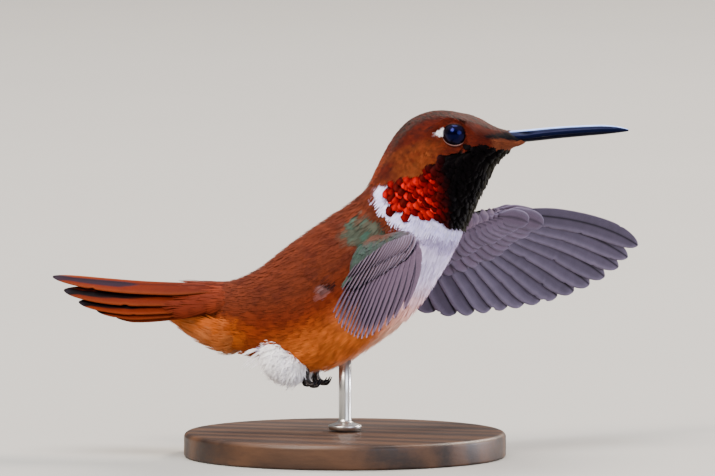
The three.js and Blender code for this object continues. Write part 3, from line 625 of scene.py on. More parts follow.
def scaleFeather(rows, columns, fringe, cup, band):
    # a firm round-ended feather, arched like a tile; band gives its tone from root to tip
    l, q = np.meshgrid(np.linspace(0, 1, rows) ** 0.8, np.linspace(-1, 1, columns), indexing="ij")
    bluntTip = np.sqrt(np.maximum(1 - np.clip((l - 0.55) / 0.45, 0, 1) ** 2, 0.004))
    across = 0.5 * q * mix(0.55, 1, ramp(l, 0, 0.45)) * bluntTip
    along = l + fringe * chance.normal(size=l.shape) * (l > 0.9)
    high = -cup * (across * 2) ** 2 - 0.1 * l ** 3
    tone = np.interp(l, [0, 0.35, 0.7, 0.9, 1], band)
    return {"points": np.stack([along, across, high], -1).reshape(-1, 3), "faces": gridFaces(rows, columns),
            "tone": tone.reshape(-1, 1)}


def growFeathers(surface, kinds, u, v, length, width, turn, low, high, tint):
    # one feather per root (u, v); low and high are the heights of root and tip, tint one colour each
    points, faces, tone, bake, count = [], [], [], [], 0
    which = np.arange(len(u)) % len(kinds)
    for k, kind in enumerate(kinds):
        pick = np.flatnonzero(which == k)
        if not len(pick):
            continue
        shape = kind["points"][None]
        along, across = shape[..., 0] * length[pick, None], shape[..., 1] * width[pick, None]
        cosine, sine = np.cos(turn[pick, None]), np.sin(turn[pick, None])
        back, side = along * cosine - across * sine, along * sine + across * cosine
        perU, perV = surface["scale"](u[pick], v[pick])
        lift = mix(low[pick, None], high[pick, None], shape[..., 0]) + shape[..., 2] * width[pick, None]
        placeU = u[pick, None] - back / perU[:, None]
        placeV = v[pick, None] + side / perV[:, None]
        points.append(surface["point"](placeU, placeV, lift).reshape(-1, 3))
        n = shape.shape[1]
        faces.append((kind["faces"][None] + count + n * np.arange(len(pick))[:, None, None]).reshape(-1, 4))
        count += n * len(pick)
        tone.append((tint[pick][:, None] * kind["tone"][None]).reshape(-1, 3))
        patch = np.stack([shape[0, :, 1], shape[0, :, 0] - 0.5], -1) * 0.003
        bake.append((surface["flat"](u[pick], v[pick])[:, None] + patch[None]).reshape(-1, 2))
    return [np.concatenate(part) for part in (points, faces, tone, bake)]


def layFeathers(name, surface, kinds, u, v, length, width, turn, low, high, tint, material, ruffle=0.02,
                uneven=0.06):
    # grows the feathers with small natural differences and makes them one piece
    n = len(u)
    vary = lambda value, share: np.broadcast_to(value, n) * (1 + share * chance.normal(size=n))
    tint = np.broadcast_to(tint, (n, 3)) * np.maximum(1 + uneven * chance.normal(size=(n, 1)), 0.3)
    tips = np.broadcast_to(high, n) + ruffle * np.abs(chance.normal(size=n))
    points, faces, tone, bake = growFeathers(surface, kinds, u, v, vary(length, 0.1), vary(width, 0.1),
                                             np.broadcast_to(turn, n) + 0.07 * chance.normal(size=n),
                                             np.broadcast_to(float(low), n), tips, tint)
    makePiece(name, points, faces, material, tint=tone, bake=bake)
    print(name, n, "feathers", 2 * len(faces), "triangles")


def makeSkin():
    rings, around = 150, 96
    t, a = np.meshgrid(np.linspace(0, 1, rings), np.linspace(0, 1, around, endpoint=False), indexing="ij")
    depth = bodyShape["coatDepth"] * (0.4 + 0.6 * ramp(t, 0, 0.04) * ramp(1 - t, 0, 0.05))
    points = onBody(t, a, -depth).reshape(-1, 3)
    # painted shade: the skin takes the coat's colours darkened to 0.6, and near black under the gorget, so
    # the gaps between feathers look shaded
    tone = markings(points, a.ravel()) * 0.6
    inside = ramp(inThroat(points[:, 0], points[:, 2]), 0.2, 0.8)
    tone = blend(tone, linear(plumage["paintedShadeUnderGorget"]), inside)
    points, faces = closeEnds(points, rings, around, [points[:around].mean(0), points[-around:].mean(0)])
    tone = np.vstack([tone, tone[:1], tone[-1:]])
    bake = np.vstack([bodyPlace(t.ravel(), a.ravel()), [[0.5, 0.01], [0.5, 0.99]]])
    makePiece("skin", points, faces, underSkin, ("head", "gorget", "neck", "torso"),
              tint=tone, bake=bake)


makeSkin()
print("skin made")

coat = {
    "bodyColumns": 120, "headColumns": 136, "gorgetColumns": 46,
    # millimetres from one feather to the next along the body
    "pitch": {"body": 0.85, "rump": 0.95, "collar": 0.72, "head": 0.46, "bill": 0.32, "gorget": 0.88},
    # length, width in columns, and the heights of root and tip over the body's outline
    "body": (2.9, 3.4, -0.45, 0.08), "collar": (2.2, 3.2, -0.5, 0.14), "face": (1.3, 3.3, -0.35, 0.06),
    "crown": (1.1, 2.6, -0.25, 0.1),
}


def layRoots(columns, pitch, closest):
    # walks down each column from bill to rump and sets a root at every pitch, staggered between columns
    rings, around = body["lengthT"].shape
    count = np.cumsum(body["lengthT"] / (rings - 1) / pitch, axis=0)
    count = count[-1:] - count  # feathers counted from the bill backwards
    roots = []
    for k in range(columns):
        column = count[:, round(k / columns * (around - 1))]
        wanted = np.arange(0.2 + 0.5 * (k % 2), column[0], 1.0)
        wanted = wanted + chance.uniform(-0.16, 0.16, len(wanted))
        t = np.interp(wanted, column[::-1], np.linspace(0, 1, rings))
        a = k / columns + chance.uniform(-0.2, 0.2, len(t)) / columns
        spacing = bodyScale(t, a)[1] / columns
        # columns merge where the body narrows
        share = 2 ** np.ceil(np.log2(np.maximum(closest / spacing, 1)))
        keep = k % share == 0
        roots.append(np.column_stack([t, a, spacing * share])[keep])
    return np.concatenate(roots).T


def roundTheEye(t, a):
    # how the coat parts round the eyes: each feather's turn, its distance, and the length that clears the eye
    points, alongBody = lookUp(body["points"], t, a), unit(lookUp(body["slopeT"], t, a))
    roundBody = np.cross(lookUp(body["normals"], t, a), alongBody)
    turn, nearest, room = np.zeros(len(t)), np.full(len(t), 99.0), np.full(len(t), 99.0)
    for side in (-1, 1):
        centre = onSide(eye["at"], side) + [0, side, 0]  # in the opening, 1 mm out from the ball's middle
        back = -((points - centre) * alongBody).sum(-1)  # positive behind the eye
        across = ((points - centre) * roundBody).sum(-1)
        near = np.maximum(np.linalg.norm(points - centre, axis=-1), 0.3)
        flowBack = 1 - eye["part"] ** 2 * (back ** 2 - across ** 2) / near ** 4
        flowSide = -2 * eye["part"] ** 2 * back * across / near ** 4
        same = (np.sign(points[:, 1]) == side) & (near < 7)
        turn = np.where(same, np.arctan2(flowSide, np.maximum(flowBack, 0.05)), turn)
        nearest = np.where(same, near, nearest)
        ahead = same & (back < 0) & (np.abs(across) < 2.4)
        room = np.where(ahead, np.maximum(near - eye["rim"] + 0.1, 0.35), room)
    return turn, nearest, room


def makeCoat():
    x, z = body["points"][..., 0], body["points"][..., 2]
    pitch = mix(coat["pitch"]["body"], coat["pitch"]["rump"], ramp(-x, 8, 15))
    below = -sideOf(throatFoot, x, z)
    pitch = mix(pitch, coat["pitch"]["collar"], ramp(4 - below, 0, 1.5) * ramp(below, -1, 0))
    headPitch = mix(coat["pitch"]["head"], coat["pitch"]["bill"], ramp(x, 19, 24))
    bodyKinds = [barbedPlume(9, 0.08, 0.35) for _ in range(6)]
    faceKinds = [barbedPlume(5, 0.15, 0.2) for _ in range(6)]
    fluffKinds = [barbedPlume(9, 0.12, 0.35, 1.1) for _ in range(6)]
    crownKinds = [scaleFeather(6, 5, 0.03, 0.1, [0.6, 0.75, 1.0, 1.5, 2.0]) for _ in range(4)]

    def lay(name, roots, keep, kinds, sizes, material, turn, room=99.0, near=99.0, uneven=0.05):
        t, a, spread, turn = [part[keep] for part in (*roots, turn)]
        room, near = [np.broadcast_to(part, keep.shape)[keep] for part in (room, near)]
        length, width, low, high = coat[sizes]
        length = np.minimum(length, room)
        width = width * spread * mix(0.5, 1, ramp(near, 1.8, 3.6))  # narrower feathers close to the eye
        perT, perA = bodyScale(t, a)
        middle = t - 0.6 * length * np.cos(turn) / perT
        tint = markings(onBody(middle, a + 0.6 * length * np.sin(turn) / perA, np.zeros(len(t))), a)
        layFeathers(name, bodySurface, kinds, t, a, length, width, turn, low, high, tint, material,
                    uneven=uneven)

    roots = layRoots(coat["bodyColumns"], pitch, 0.42)
    t, a, _ = roots
    x, _, z = lookUp(body["points"], t, a).T
    onHead = (z > 40.3) & (x > 5.2)
    throat = inThroat(x, z)
    collar = ~onHead & (throat < 1.6) & (sideOf(collarFoot, x, z) > -0.1) & (z < 39.2)
    rest = ~onHead & ~collar & (throat < 0.2)
    half = (1 - np.cos(2 * np.pi * a)) / 2  # 0 along the back, 1 along the belly
    straight = np.zeros(len(t))
    for name, first, last in (("coatBack", -1, 0.4), ("coatSides", 0.4, 0.8), ("coatBelly", 0.8, 2)):
        lay(name, roots, rest & (half >= first) & (half < last), bodyKinds, "body", bodyDown,
            straight)
    lay("coatCollar", roots, collar, fluffKinds, "collar", whiteDown, straight)

    roots = layRoots(coat["headColumns"], headPitch, 0.2)
    t, a, _ = roots
    x, _, z = lookUp(body["points"], t, a).T
    turn, near, room = roundTheEye(t, a)
    half = (1 - np.cos(2 * np.pi * a)) / 2
    head = (z > 40.0) & (x > 5.0) & (inThroat(x, z) < 0.15) & (near > eye["rim"] - 0.38)
    crown = head & (half < 0.1) & (x < 25.5)
    lay("coatFace", roots, head & ~crown, faceKinds, "face", headDown, turn, room, near,
        uneven=0.2)
    coarse = crown & (chance.random(len(t)) < 0.9)
    lay("coatCrown", roots, coarse, crownKinds, "crown", headDown, turn, room)


makeCoat()

gorget = {
    "length": 1.95, "width": 1.75, "low": -0.4, "high": 0.42,  # mm, but the width in columns
    "inset": 1.75, "clearOfEye": 2.6,  # how far roots stay inside the lower edge and away from the eye
    # the colours of the painted reflection, from lit red to black where the shine turns away; rim is for the
    # front outline
    "bright": "#940000", "orange": "#b01400", "deep": "#440100", "night": "#020001", "rim": "#4a4424",
}


def makeGorget():
    # scale feathers with a painted reflection: their colours glow towards the side and go black towards the
    # front and the chin
    t, a, spread = layRoots(coat["gorgetColumns"], coat["pitch"]["gorget"], 0.7)
    px, py, pz = lookUp(body["points"], t, a).T
    turn, near, _ = roundTheEye(t, a)
    pick = (sideOf(throatTop, px, pz) > 0) & (sideOf(throatFoot, px, pz) > gorget["inset"])
    pick = pick & (near > gorget["clearOfEye"])
    t, a, spread, turn, x, y, z = [part[pick] for part in (t, a, spread, turn, px, py, pz)]
    n = len(t)
    kinds = [scaleFeather(9, 9, 0.02, 0.24, [0.03, 0.15, 0.95, 1.15, 0.45]) for _ in range(5)]
    small = 1 - 0.4 * ramp(z, 43.3, 45)
    # the glow is a painted reflection: the angle-dependent shine painted into each feather's colour,
    # strongest low on the side towards the back, none on the front
    glow = ramp(18.0 - x, 0, 3.2) * ramp(np.abs(y) / 5.2, 0.3, 0.75)
    glow = glow * (1 - 0.5 * ramp(z, 40.5, 42.5) * ramp(x, 12.5, 14.5))
    glow = np.clip(glow * (0.33 + 0.76 * chance.random(n)), 0, 1)[:, None]
    hue = np.clip(ramp(39.5 - z, 0, 4.5) * 0.7 + 0.25 * chance.normal(size=n), 0, 1)[:, None]
    lit = mix(linear(gorget["bright"]), linear(gorget["orange"]), hue)
    deep, night = linear(gorget["deep"]), linear(gorget["night"])
    tone = np.where(glow > 0.5, mix(deep, lit, glow * 2 - 1), mix(night, deep, glow * 2))
    # painted reflection too: olive flecks along the front outline
    rim = (ramp(1.6 - np.abs(y), 0, 1.2) * ramp(x, 17, 18.5))[:, None] * chance.uniform(0.02, 0.14, (n, 1))
    tone = mix(tone, linear(gorget["rim"]), rim)
    turn = turn * 0.6 + 0.1 * chance.normal(size=n)
    layFeathers("gorgetFeathers", bodySurface, kinds, t, a, gorget["length"] * small,
                gorget["width"] * spread * small, turn, gorget["low"], gorget["high"], tone, gorgetFoil,
                ruffle=0.1)


makeGorget()

bill = {
    # x, z of the middle, half height, half width
    "stations": [(22.9, 46.0, 0.78, 1.25), (26.3, 46.25, 0.84, 1.12), (32.3, 46.9, 0.8, 0.86),
                 (38.3, 47.38, 0.66, 0.66), (40.6, 47.45, 0.44, 0.46), (42.1, 47.4, 0.16, 0.18)],
    "mouth": [(20.8, 46.3), (23.4, 46.15), (26.3, 45.9), (32.3, 46.65), (38.3, 47.1), (40.2, 47.0),
              (41.6, 46.3)],
    "nostril": (27.0, 46.75, 2.2, 0.34),  # x, z, length, height
    "lowerReach": 0.96,  # the lower half ends this far along the upper
    # top is a painted highlight and reflection along the ridge
    "top": "#a0bcff", "side": "#03061c", "below": "#02030c", "rows": 110, "arc": 44, "inner": 9,
}


def billHalf(upper):
    sign = 1 if upper else -1
    s = np.linspace(0, 1 if upper else bill["lowerReach"], bill["rows"])
    table = np.array(bill["stations"])
    middle = smoothThrough(sideView(table[:, :2]), s)
    size = smoothThrough(table[:, 2:4], s)
    line = smoothThrough(bill["mouth"], np.linspace(0, 1, 200))
    mouth = np.interp(middle[:, 0], line[:, 0], line[:, 1])
    offMiddle = (mouth + sign * 0.015 - middle[:, 2]) / size[:, 0]
    reach = np.arccos(sign * np.clip(offMiddle, -0.96, 0.96))[:, None]
    angle = reach * np.linspace(-1, 1, bill["arc"])[None]
    ridge = 1 + 0.06 * hump(angle, 0, 0.35) * (1 if upper else 0.4)
    groove = 1 - 0.05 * hump(np.abs(angle), 0.9, 0.2)
    y = np.sin(angle) * size[:, 1:2] * groove
    z = middle[:, 2:3] + sign * np.cos(angle) * size[:, 0:1] * ridge
    inward = np.linspace(1, -1, bill["inner"] + 2)[1:-1][None]
    y = np.hstack([y, inward * np.abs(y[:, -1:])])
    z = np.hstack([z, np.repeat(z[:, -1:], bill["inner"], axis=1)])
    points = np.stack([np.broadcast_to(middle[:, 0:1], y.shape), y, z], -1)
    # painted highlight: the top of the upper half is paled towards the top colour, a reflection of the lights
    # above
    high = ramp((z - middle[:, 2:3]) / size[:, 0:1], 0.72, 1.0)[..., None]
    if upper:
        atX, atZ, long, tall = bill["nostril"]
        along = points[..., 0] - atX
        dent = hump(along, 0, long * 0.36) * hump(z - along * 0.07, atZ, tall * 0.55)
        points[..., 1] -= np.sign(y) * 0.35 * dent * (np.abs(y) > 0.5)
        # painted shade: the nostril's groove is darkened as well as dented
        tone = mix(linear(bill["side"]), linear(bill["top"]), high) * (1 - 0.9 * dent[..., None])
    else:
        tone = np.broadcast_to(linear(bill["below"]), points.shape)
    columns = points.shape[1]
    ends = [points[0].mean(0), points[-1].mean(0) + [0.1, 0, 0]]
    points, faces = closeEnds(points, bill["rows"], columns, ends)
    tone = np.vstack([tone.reshape(-1, 3), tone[0, :1], tone[-1, :1]])
    if not upper:
        faces = [group[:, ::-1] for group in faces]
    half = "Upper" if upper else "Lower"
    makePiece("bill" + half, points, faces, billHorn, ("bill_" + half.lower(),), tint=tone)


billHalf(True)
billHalf(False)
print("bill made")


def eyeFrame(side):
    # centre of the ball, the way it looks, and the directions to the front corner and the upper lid
    turn = math.radians(eye["forward"])
    out = unit(np.array([math.sin(turn), side * math.cos(turn), eye["upward"]]))
    up = unit(np.array([0.0, 0.0, 1.0]) - out * out[2])
    ahead = np.cross(up, out) * -side
    tilt = math.radians(eye["tilt"])
    ahead, up = ahead * math.cos(tilt) - up * math.sin(tilt), up * math.cos(tilt) + ahead * math.sin(tilt)
    return onSide(eye["at"], side), out, ahead, up


def makeEye(name, side):
    centre, out, ahead, up = eyeFrame(side)
    rows, around = 44, 64
    polar = np.linspace(0, np.pi, rows + 2)[1:-1, None, None]
    turn = onceRound(around)[None, :, None] * -side
    # the cornea stands a little proud, and the hidden back is smaller, so that it stays inside the crown
    bulge = 1 + 0.04 * hump(polar, 0, 0.55) - 0.16 * ramp(polar, 1.25, 1.75)
    radial = np.cos(turn) * ahead + np.sin(turn) * up
    points = centre + eye["radius"] * bulge * (np.sin(polar) * radial + np.cos(polar) * out)
    iris = ramp(polar, 0.42, 0.5) * (1 - ramp(polar, 0.95, 1.1))
    tone = mix(linear(eye["pupil"]), linear(eye["iris"]), iris)
    tone = np.broadcast_to(tone, points.shape).reshape(-1, 3)
    ends = [centre + eye["radius"] * 1.04 * out, centre - eye["radius"] * out]
    points, faces = closeEnds(points, rows, around, ends)
    tone = np.vstack([tone, tone[:1], tone[-1:]])
    makePiece("eyeball_" + name, points, faces, eyeGloss, ("eye_" + name,), tint=tone)


def headSide(x, z, side):
    # how far out the head's skin lies at a place seen from the side, and how far round from the back
    half = bodyShape["around"] // 2
    first = 0 if side > 0 else half
    flat = body["points"][bodyShape["headRing"]:, first:first + half + 1].reshape(-1, 3)
    nearest = np.array([np.argmin((flat[:, 0] - px) ** 2 + (flat[:, 2] - pz) ** 2) for px, pz in zip(x, z)])
    return flat[nearest, 1], (nearest % (half + 1) + first) / bodyShape["around"]


def makeLids(name, side):
    # thin lids that hug the ball, with a rolled edge, and run out under the feathers round the eye
    centre, out, ahead, up = eyeFrame(side)
    around = 96
    turn = onceRound(around) * side
    wide, above, under = eye["opening"]
    edge = np.hypot(np.cos(turn) * (wide + 0.08 * np.cos(turn) ** 6),
                    np.sin(turn) * np.where(np.sin(turn) > 0, above, under))
    radial = np.cos(turn)[:, None] * ahead + np.sin(turn)[:, None] * up
    steps = np.array([0.0, 0.02, 0.08, 0.18, 0.3, 0.45, 0.7, 1.0])
    raised = np.array([-0.25, 0.04, 0.08, 0.07, 0.02, -0.02, -0.1, -0.3])
    onBall = lambda r: np.sqrt(np.maximum(eye["radius"] ** 2 - np.minimum(r, eye["radius"] * 0.98) ** 2, 0))
    brim = centre + radial * eye["rim"]
    brim[:, 1], roundBody = headSide(brim[:, 0], brim[:, 2], side)
    outer = (brim - centre) @ out
    points = []
    for share, lift in zip(steps, raised):
        r = mix(edge, eye["rim"], share)
        height = mix(onBall(r), outer, ramp(share, 0.1, 1.0)) + lift
        if share > 0:
            height = np.where(r < 0.85 * eye["radius"], np.maximum(height, onBall(r) + 0.05), height)
        points.append(centre + radial * r[:, None] + out * height[:, None])
    points = np.array(points)
    below = ramp(-np.sin(turn), 0.1, 0.6)
    inFront = ramp(np.cos(turn), 0.75, 0.98)
    pale = np.clip(below * 0.8 + 0.7 * inFront, 0, 1)[:, None]
    # painted shade: the lid is darkened at its inner edge, where it tucks against the ball, and a little
    # where it runs out under the feathers
    fold = np.array([0.3, 0.8, 1, 1, 0.9, 0.9, 0.9, 0.9])[:, None, None]
    tone = mix(linear(eye["lid"]), linear(eye["lidPale"]), pale) * fold
    feathered = np.array([markings(ring, roundBody) for ring in points])
    tone = mix(tone, feathered * 0.8, ramp(steps, 0.18, 0.36)[:, None, None]).reshape(-1, 3)
    makePiece("lids_" + name, points.reshape(-1, 3), gridFaces(len(steps), around, closed=True), lidSkin,
              tint=tone)


for name, side in sides.items():
    makeEye(name, side)
    makeLids(name, side)
print("eyes made")


def vaneSheet(place, width, lead, rows, columns, pointed, thick, shaft, notches):
    # a closed thin vane: an upper and a lower face over one grid, with a raised shaft and a few split barbs
    l = np.linspace(0, 1, rows)[:, None]
    taper = np.sqrt(np.maximum(0.012, 1 - np.clip((l - 1 + pointed) / pointed, 0, 1) ** 2))
    half = width * taper * mix(0.45, 1, ramp(l, 0, 0.35))
    q = np.linspace(-1, 1, columns)[None]
    across = q * half * np.where(q < 0, 1 - lead, lead)
    for _ in range(notches):
        at, web = chance.uniform(0.3, 0.92), chance.choice([-1, 1])
        across = across * (1 - hump(l, at, 0.012) * (q * web > 0.6) * chance.uniform(0.05, 0.16))
    ridge = shaft * hump(across, 0, 0.16) * (1 - 0.8 * l)
    deep = thick * (1 - 0.5 * l) * (1 - 0.6 * np.abs(q) ** 3) / 2
    l, q = np.broadcast_to(l, across.shape), np.broadcast_to(q, across.shape)
    points = np.concatenate([place(l, across, deep + ridge).reshape(-1, 3),
                             place(l, across, -deep - ridge * 0.5).reshape(-1, 3)])
    top, n = gridFaces(rows, columns), rows * columns
    rim = np.concatenate([np.arange(0, columns), np.arange(2 * columns - 1, n, columns),
                          np.arange(n - 2, n - columns - 1, -1), np.arange(n - 2 * columns, 0, -columns)])
    after = np.roll(rim, -1)
    faces = np.concatenate([top, top[:, ::-1] + n, np.stack([rim, rim + n, after + n, after], -1)])
    return {"points": points, "faces": faces, "l": np.tile(l.ravel(), 2), "q": np.tile(q.ravel(), 2),
            "across": np.tile(across.ravel(), 2), "under": np.repeat([0, 1], n)}


def finishVane(sheet, tone, length, index, total, flip):
    # adds the lie of the barbs, which leave the shaft at a slant, and the vane's own cell of the bake map
    slant = np.abs(sheet["across"]) * vaneLook["barbSlant"]
    barb = np.column_stack([sheet["l"] * length - slant, sheet["across"], np.zeros(len(tone))])
    cells = math.ceil(math.sqrt(total))
    column, row = index % cells, index // cells
    bake = np.column_stack([(column + 0.05 + 0.42 * (sheet["q"] + 1) / 2 + 0.47 * sheet["under"]) / cells,
                            (row + 0.05 + 0.9 * sheet["l"]) / cells])
    faces = sheet["faces"][:, ::-1] if flip else sheet["faces"]
    return sheet["points"], faces, tone, barb, bake


def joinVanes(name, parts, material, nodes=()):
    shift = np.cumsum([0] + [len(p[0]) for p in parts[:-1]])
    faces = np.concatenate([p[1] + s for p, s in zip(parts, shift)])
    points, tint, barb, bake = [np.concatenate([p[i] for p in parts]) for i in (0, 2, 3, 4)]
    makePiece(name, points, faces, material, nodes, tint=tint, bake=bake, barb=barb)
    print(name, len(parts), "vanes", 2 * len(faces), "triangles")


tail = {
    # the feathers lie over an arch that widens from the root and curls up a little at its end
    "root": (-15.2, 24.5), "rootRadius": 2.5, "endRadius": 6.6, "spread": 15, "flat": 0.85, "tent": 0.75,
    "curlFrom": 5.5, "curl": 0.0021,
    "tilt": 9, "step": 0.26, "topStep": 0.4,  # the tilt of each vane, and the heights between them
    # angle round the arch, length, width, from the middle pair outwards
    "feathers": [(20, 28.2, 5.4), (42, 25.8, 4.8), (60, 23.2, 4.2), (72, 20.4, 3.8), (82, 17.6, 3.4)],
    # where along each the dark wedge starts, and how far on it is at its full width
    "wedges": [(0.52, 0.12), (0.4, 0.45), (0.42, 0.45), (0.45, 0.45), (0.45, 0.45)],
    "rufous": "#5a1800", "rufousPaleEdgeAndLight": "#84421c", "dark": "#080204", "darkTop": "#241420", "tip": "#28222c",
}


def tailRadius(back):
    return mix(tail["rootRadius"], tail["endRadius"], np.sqrt(np.clip(back / tail["spread"], 0, 1)))


def tailPoint(back, angle, over):
    radius = tailRadius(back)
    drop = tail["flat"] * radius * (1 - np.cos(angle)) ** tail["tent"]
    ridge = tail["root"][1] + tail["curl"] * (back - tail["curlFrom"]) ** 2
    return np.stack([tail["root"][0] - back, (radius + over) * np.sin(angle),
                     ridge - drop + over * np.cos(angle)], -1)


def tailFeather(angle, length, side, lift):
    def place(l, across, off):
        back = l * length
        turn = math.radians(angle) + across / tailRadius(back)
        raised = across * math.tan(math.radians(tail["tilt"])) * ramp(l, 0, 0.3)
        return tailPoint(back, side * turn, lift + off + raised)
    return place


def makeTail():
    parts = []
    c = colours(tail)
    pairs = len(tail["feathers"])
    for side in (-1, 1):
        for i, (angle, length, width) in enumerate(tail["feathers"]):
            lift = -tail["step"] * i - (tail["topStep"] if i == 0 and side > 0 else 0)
            pointed = 0.45 if i == 0 else 0.35
            place = tailFeather(angle, length, side, lift)
            sheet = vaneSheet(place, width, 0.5, 60, 15, pointed, 0.22, 0.12, 2)
            l, q = sheet["l"], sheet["q"]
            # a dark wedge grows along the shaft and fills the tip, with a rufous edge left along each side
            start, reach = tail["wedges"][i]
            wedge = mix(0.3 * ramp(l, start, start + reach), 1.1, ramp(l, 0.88, 1.0) ** 1.5)
            dark = (1 - ramp(np.abs(q - 0.12), wedge, wedge + 0.12)) * ramp(l, start, start + reach / 3)
            # lighter rufous along each vane's upper edge and a little along the lower: partly the feathers'
            # own paler edges, partly painted light from above on the upper edge
            tone = blend(c["rufous"], c["rufousPaleEdgeAndLight"], ramp(-q, 0.3, 1) + 0.3 * ramp(q, 0.6, 1))
            tone = blend(tone, c["darkTop"] if i == 0 else c["dark"], dark)
            tone = blend(tone, c["dark"], 0.8 * ramp(sheet["under"] * q, 0.2, 0.9))
            tone = blend(tone, c["tip"], 0.5 * ramp(l, 0.94, 1.0))
            tone = blend(tone, c["dark"], 0.5 * hump(sheet["across"], 0, 0.12))
            tone = tone * (1 + 0.05 * chance.normal()) * mix(0.72, 1, ramp(l, 0.2, 0.6))[:, None]
            parts.append(finishVane(sheet, tone, length, len(parts), 2 * pairs, side > 0))
    joinVanes("tailFeathers", parts, tailVanes, ("tail",))


makeTail()

# the tail's upper surface, for the coverts that run out over it: first coordinate is minus the way back
tailTop = {
    "point": lambda u, v, lift: tailPoint(np.maximum(-u, -3.0), v, lift),
    "scale": lambda u, v: (np.ones(len(u)), tailRadius(np.maximum(-u, 0))),
    "flat": lambda u, v: np.stack([0.5 + v / 4, 0.5 - u / 40], -1),
}
rump = {
    # the wedge of soft feathers below the tail: x, z of its lower edge, and half its width
    "keel": [(-13.6, 15.9, 4.3), (-15.6, 14.7, 4.6), (-17.7, 14.3, 4.4), (-20.3, 15.2, 4.0),
             (-23.3, 16.8, 3.4), (-26.0, 19.0, 2.6)],
    "roof": 22.6, "run": 13.0,
}


def keelPoint(u, v, lift):
    # u falls from 0 at the belly to minus the run at the tips; v is the angle round from the keel
    place = smoothThrough(np.array(rump["keel"])[:, [0, 2, 1]], np.clip(-u / rump["run"], 0, 1))
    x, wide, low = np.moveaxis(place, -1, 0)
    past = np.maximum(-u - rump["run"], 0)
    middle = mix(low, rump["roof"], 0.55)
    z = middle - (middle - low + lift) * np.cos(v) + 0.5 * past
    return np.stack([x - past, (wide + lift) * np.sin(v), z], -1)


tailUnder = {
    "point": keelPoint,
    "scale": lambda u, v: (np.ones(len(u)), np.full(len(u), 4.5)),
    "flat": lambda u, v: np.stack([0.5 + v / 5, 0.5 - u / 40], -1),
}


def tierRoots(first, last, pitch, reach, spacing, radius):
    # staggered rows of roots from first to last, each spread over angles up to reach either side
    u, v = [], []
    for k, at in enumerate(np.arange(first, last, -pitch)):
        count = max(2, int(2 * reach * radius / spacing))
        angles = np.linspace(-reach, reach, count) + (0.5 * (k % 2)) * spacing / radius
        u.append(at + chance.uniform(-0.2, 0.2, count) * pitch)
        v.append(angles)
    return np.concatenate(u), np.concatenate(v)


def makeTailCoverts():
    c = colours(plumage)
    kinds = [barbedPlume(11, 0.06, 0.35) for _ in range(6)]
    u, v = tierRoots(2.4, -5.4, 1.0, 1.45, 0.9, 4.0)
    long = mix(3.0, 4.6, ramp(-u, 0, 5)) * chance.uniform(0.85, 1.35, len(u))
    tint = blend(c["flank"], c["back"], 0.4 + 0.4 * chance.random(len(u)))
    tint = blend(tint, linear(tail["rufous"]), 0.9 * ramp(-u, -1, 4))
    high = mix(0.1, 0.22, ramp(np.abs(v), 0.1, 0.6))
    layFeathers("tailCovertsAbove", tailTop, kinds, u, v, long, 2.4, 0, 0.0, high, tint, bodyDown)
    u, v = tierRoots(0.5, -11.0, 1.25, 1.5, 1.0, 4.5)
    long = mix(3.0, 5.0, ramp(-u, 1, 9))
    # pale flecks at random, and a pale band along the keel, the lower outline: partly paler feather edges,
    # partly a painted rim highlight
    tint = blend(c["vent"], c["ventPaleAndRimLight"], 0.12 * chance.random(len(u)) + 0.4 * hump(v, 0, 0.35))
    tint = blend(tint, c["flank"], 0.4 * ramp(np.abs(v), 0.6, 1.3))
    tint = blend(c["flank"], tint, mix(0.4, 1, ramp(-u, -1, 2.5)))
    high = mix(0.0, 0.35, ramp(-u, -0.5, 3))  # the first rows lie flat on the belly's feathers
    layFeathers("tailCovertsBelow", tailUnder, kinds, u, v, long, 2.5, 0, -0.3, high, tint, bodyDown,
                ruffle=0.12)


makeTailCoverts()

wing = {
    "root": (8.2, 6.6, 32.0), "rootPitch": 45, "twistEnd": 15,
    # stroke forwards, droop and outer pitch in degrees; the right wing hangs lower and lies flatter
    "held": {"right": (22, 7.5, 48), "left": (28, 4.5, 66)},
    "camber": 0.012, "primaries": 10, "secondaries": 6, "bow": 3.4, "tilt": 8,
    "hand": ((14.6, 3.3), (7.2, 0.9)), "forearm": ((6.4, 0.2), (0.6, -4.6)),
    "outline": [(46.2, -0.8), (43.6, -4.4), (37.5, -7.6), (29.5, -9.7), (21.0, -11.0), (12.0, -12.2),
                (3.0, -12.6)],
    "outerWidth": 3.1, "innerWidth": 4.4,
    # span, chord, half chord, half thickness of the arm
    "arm": [(-2.6, -4.0, 3.6, 1.7), (1.5, -3.2, 3.6, 1.5), (5.0, -0.6, 2.7, 1.2), (8.0, 1.6, 1.8, 0.95),
            (12.0, 2.8, 1.1, 0.72), (16.0, 3.3, 0.55, 0.5)],
    "armRun": (-3.2, 15.6),  # where along the span the arm starts and ends
    # covert tiers over the flight feathers: share of their length, width, height over them
    "tiers": [(0.4, 3.5, 0.42), (0.26, 3.1, 0.72)],
    "dusky": "#4b4657", "duskyEdge": "#80778f", "shaft": "#1b171f", "coverts": "#4a434c", "under": "#66576a",
    "shoulder": "#2f4a3e", "shoulderRufous": "#5c2610", "upperCast": (1.55, 1.16, 1.12),
}


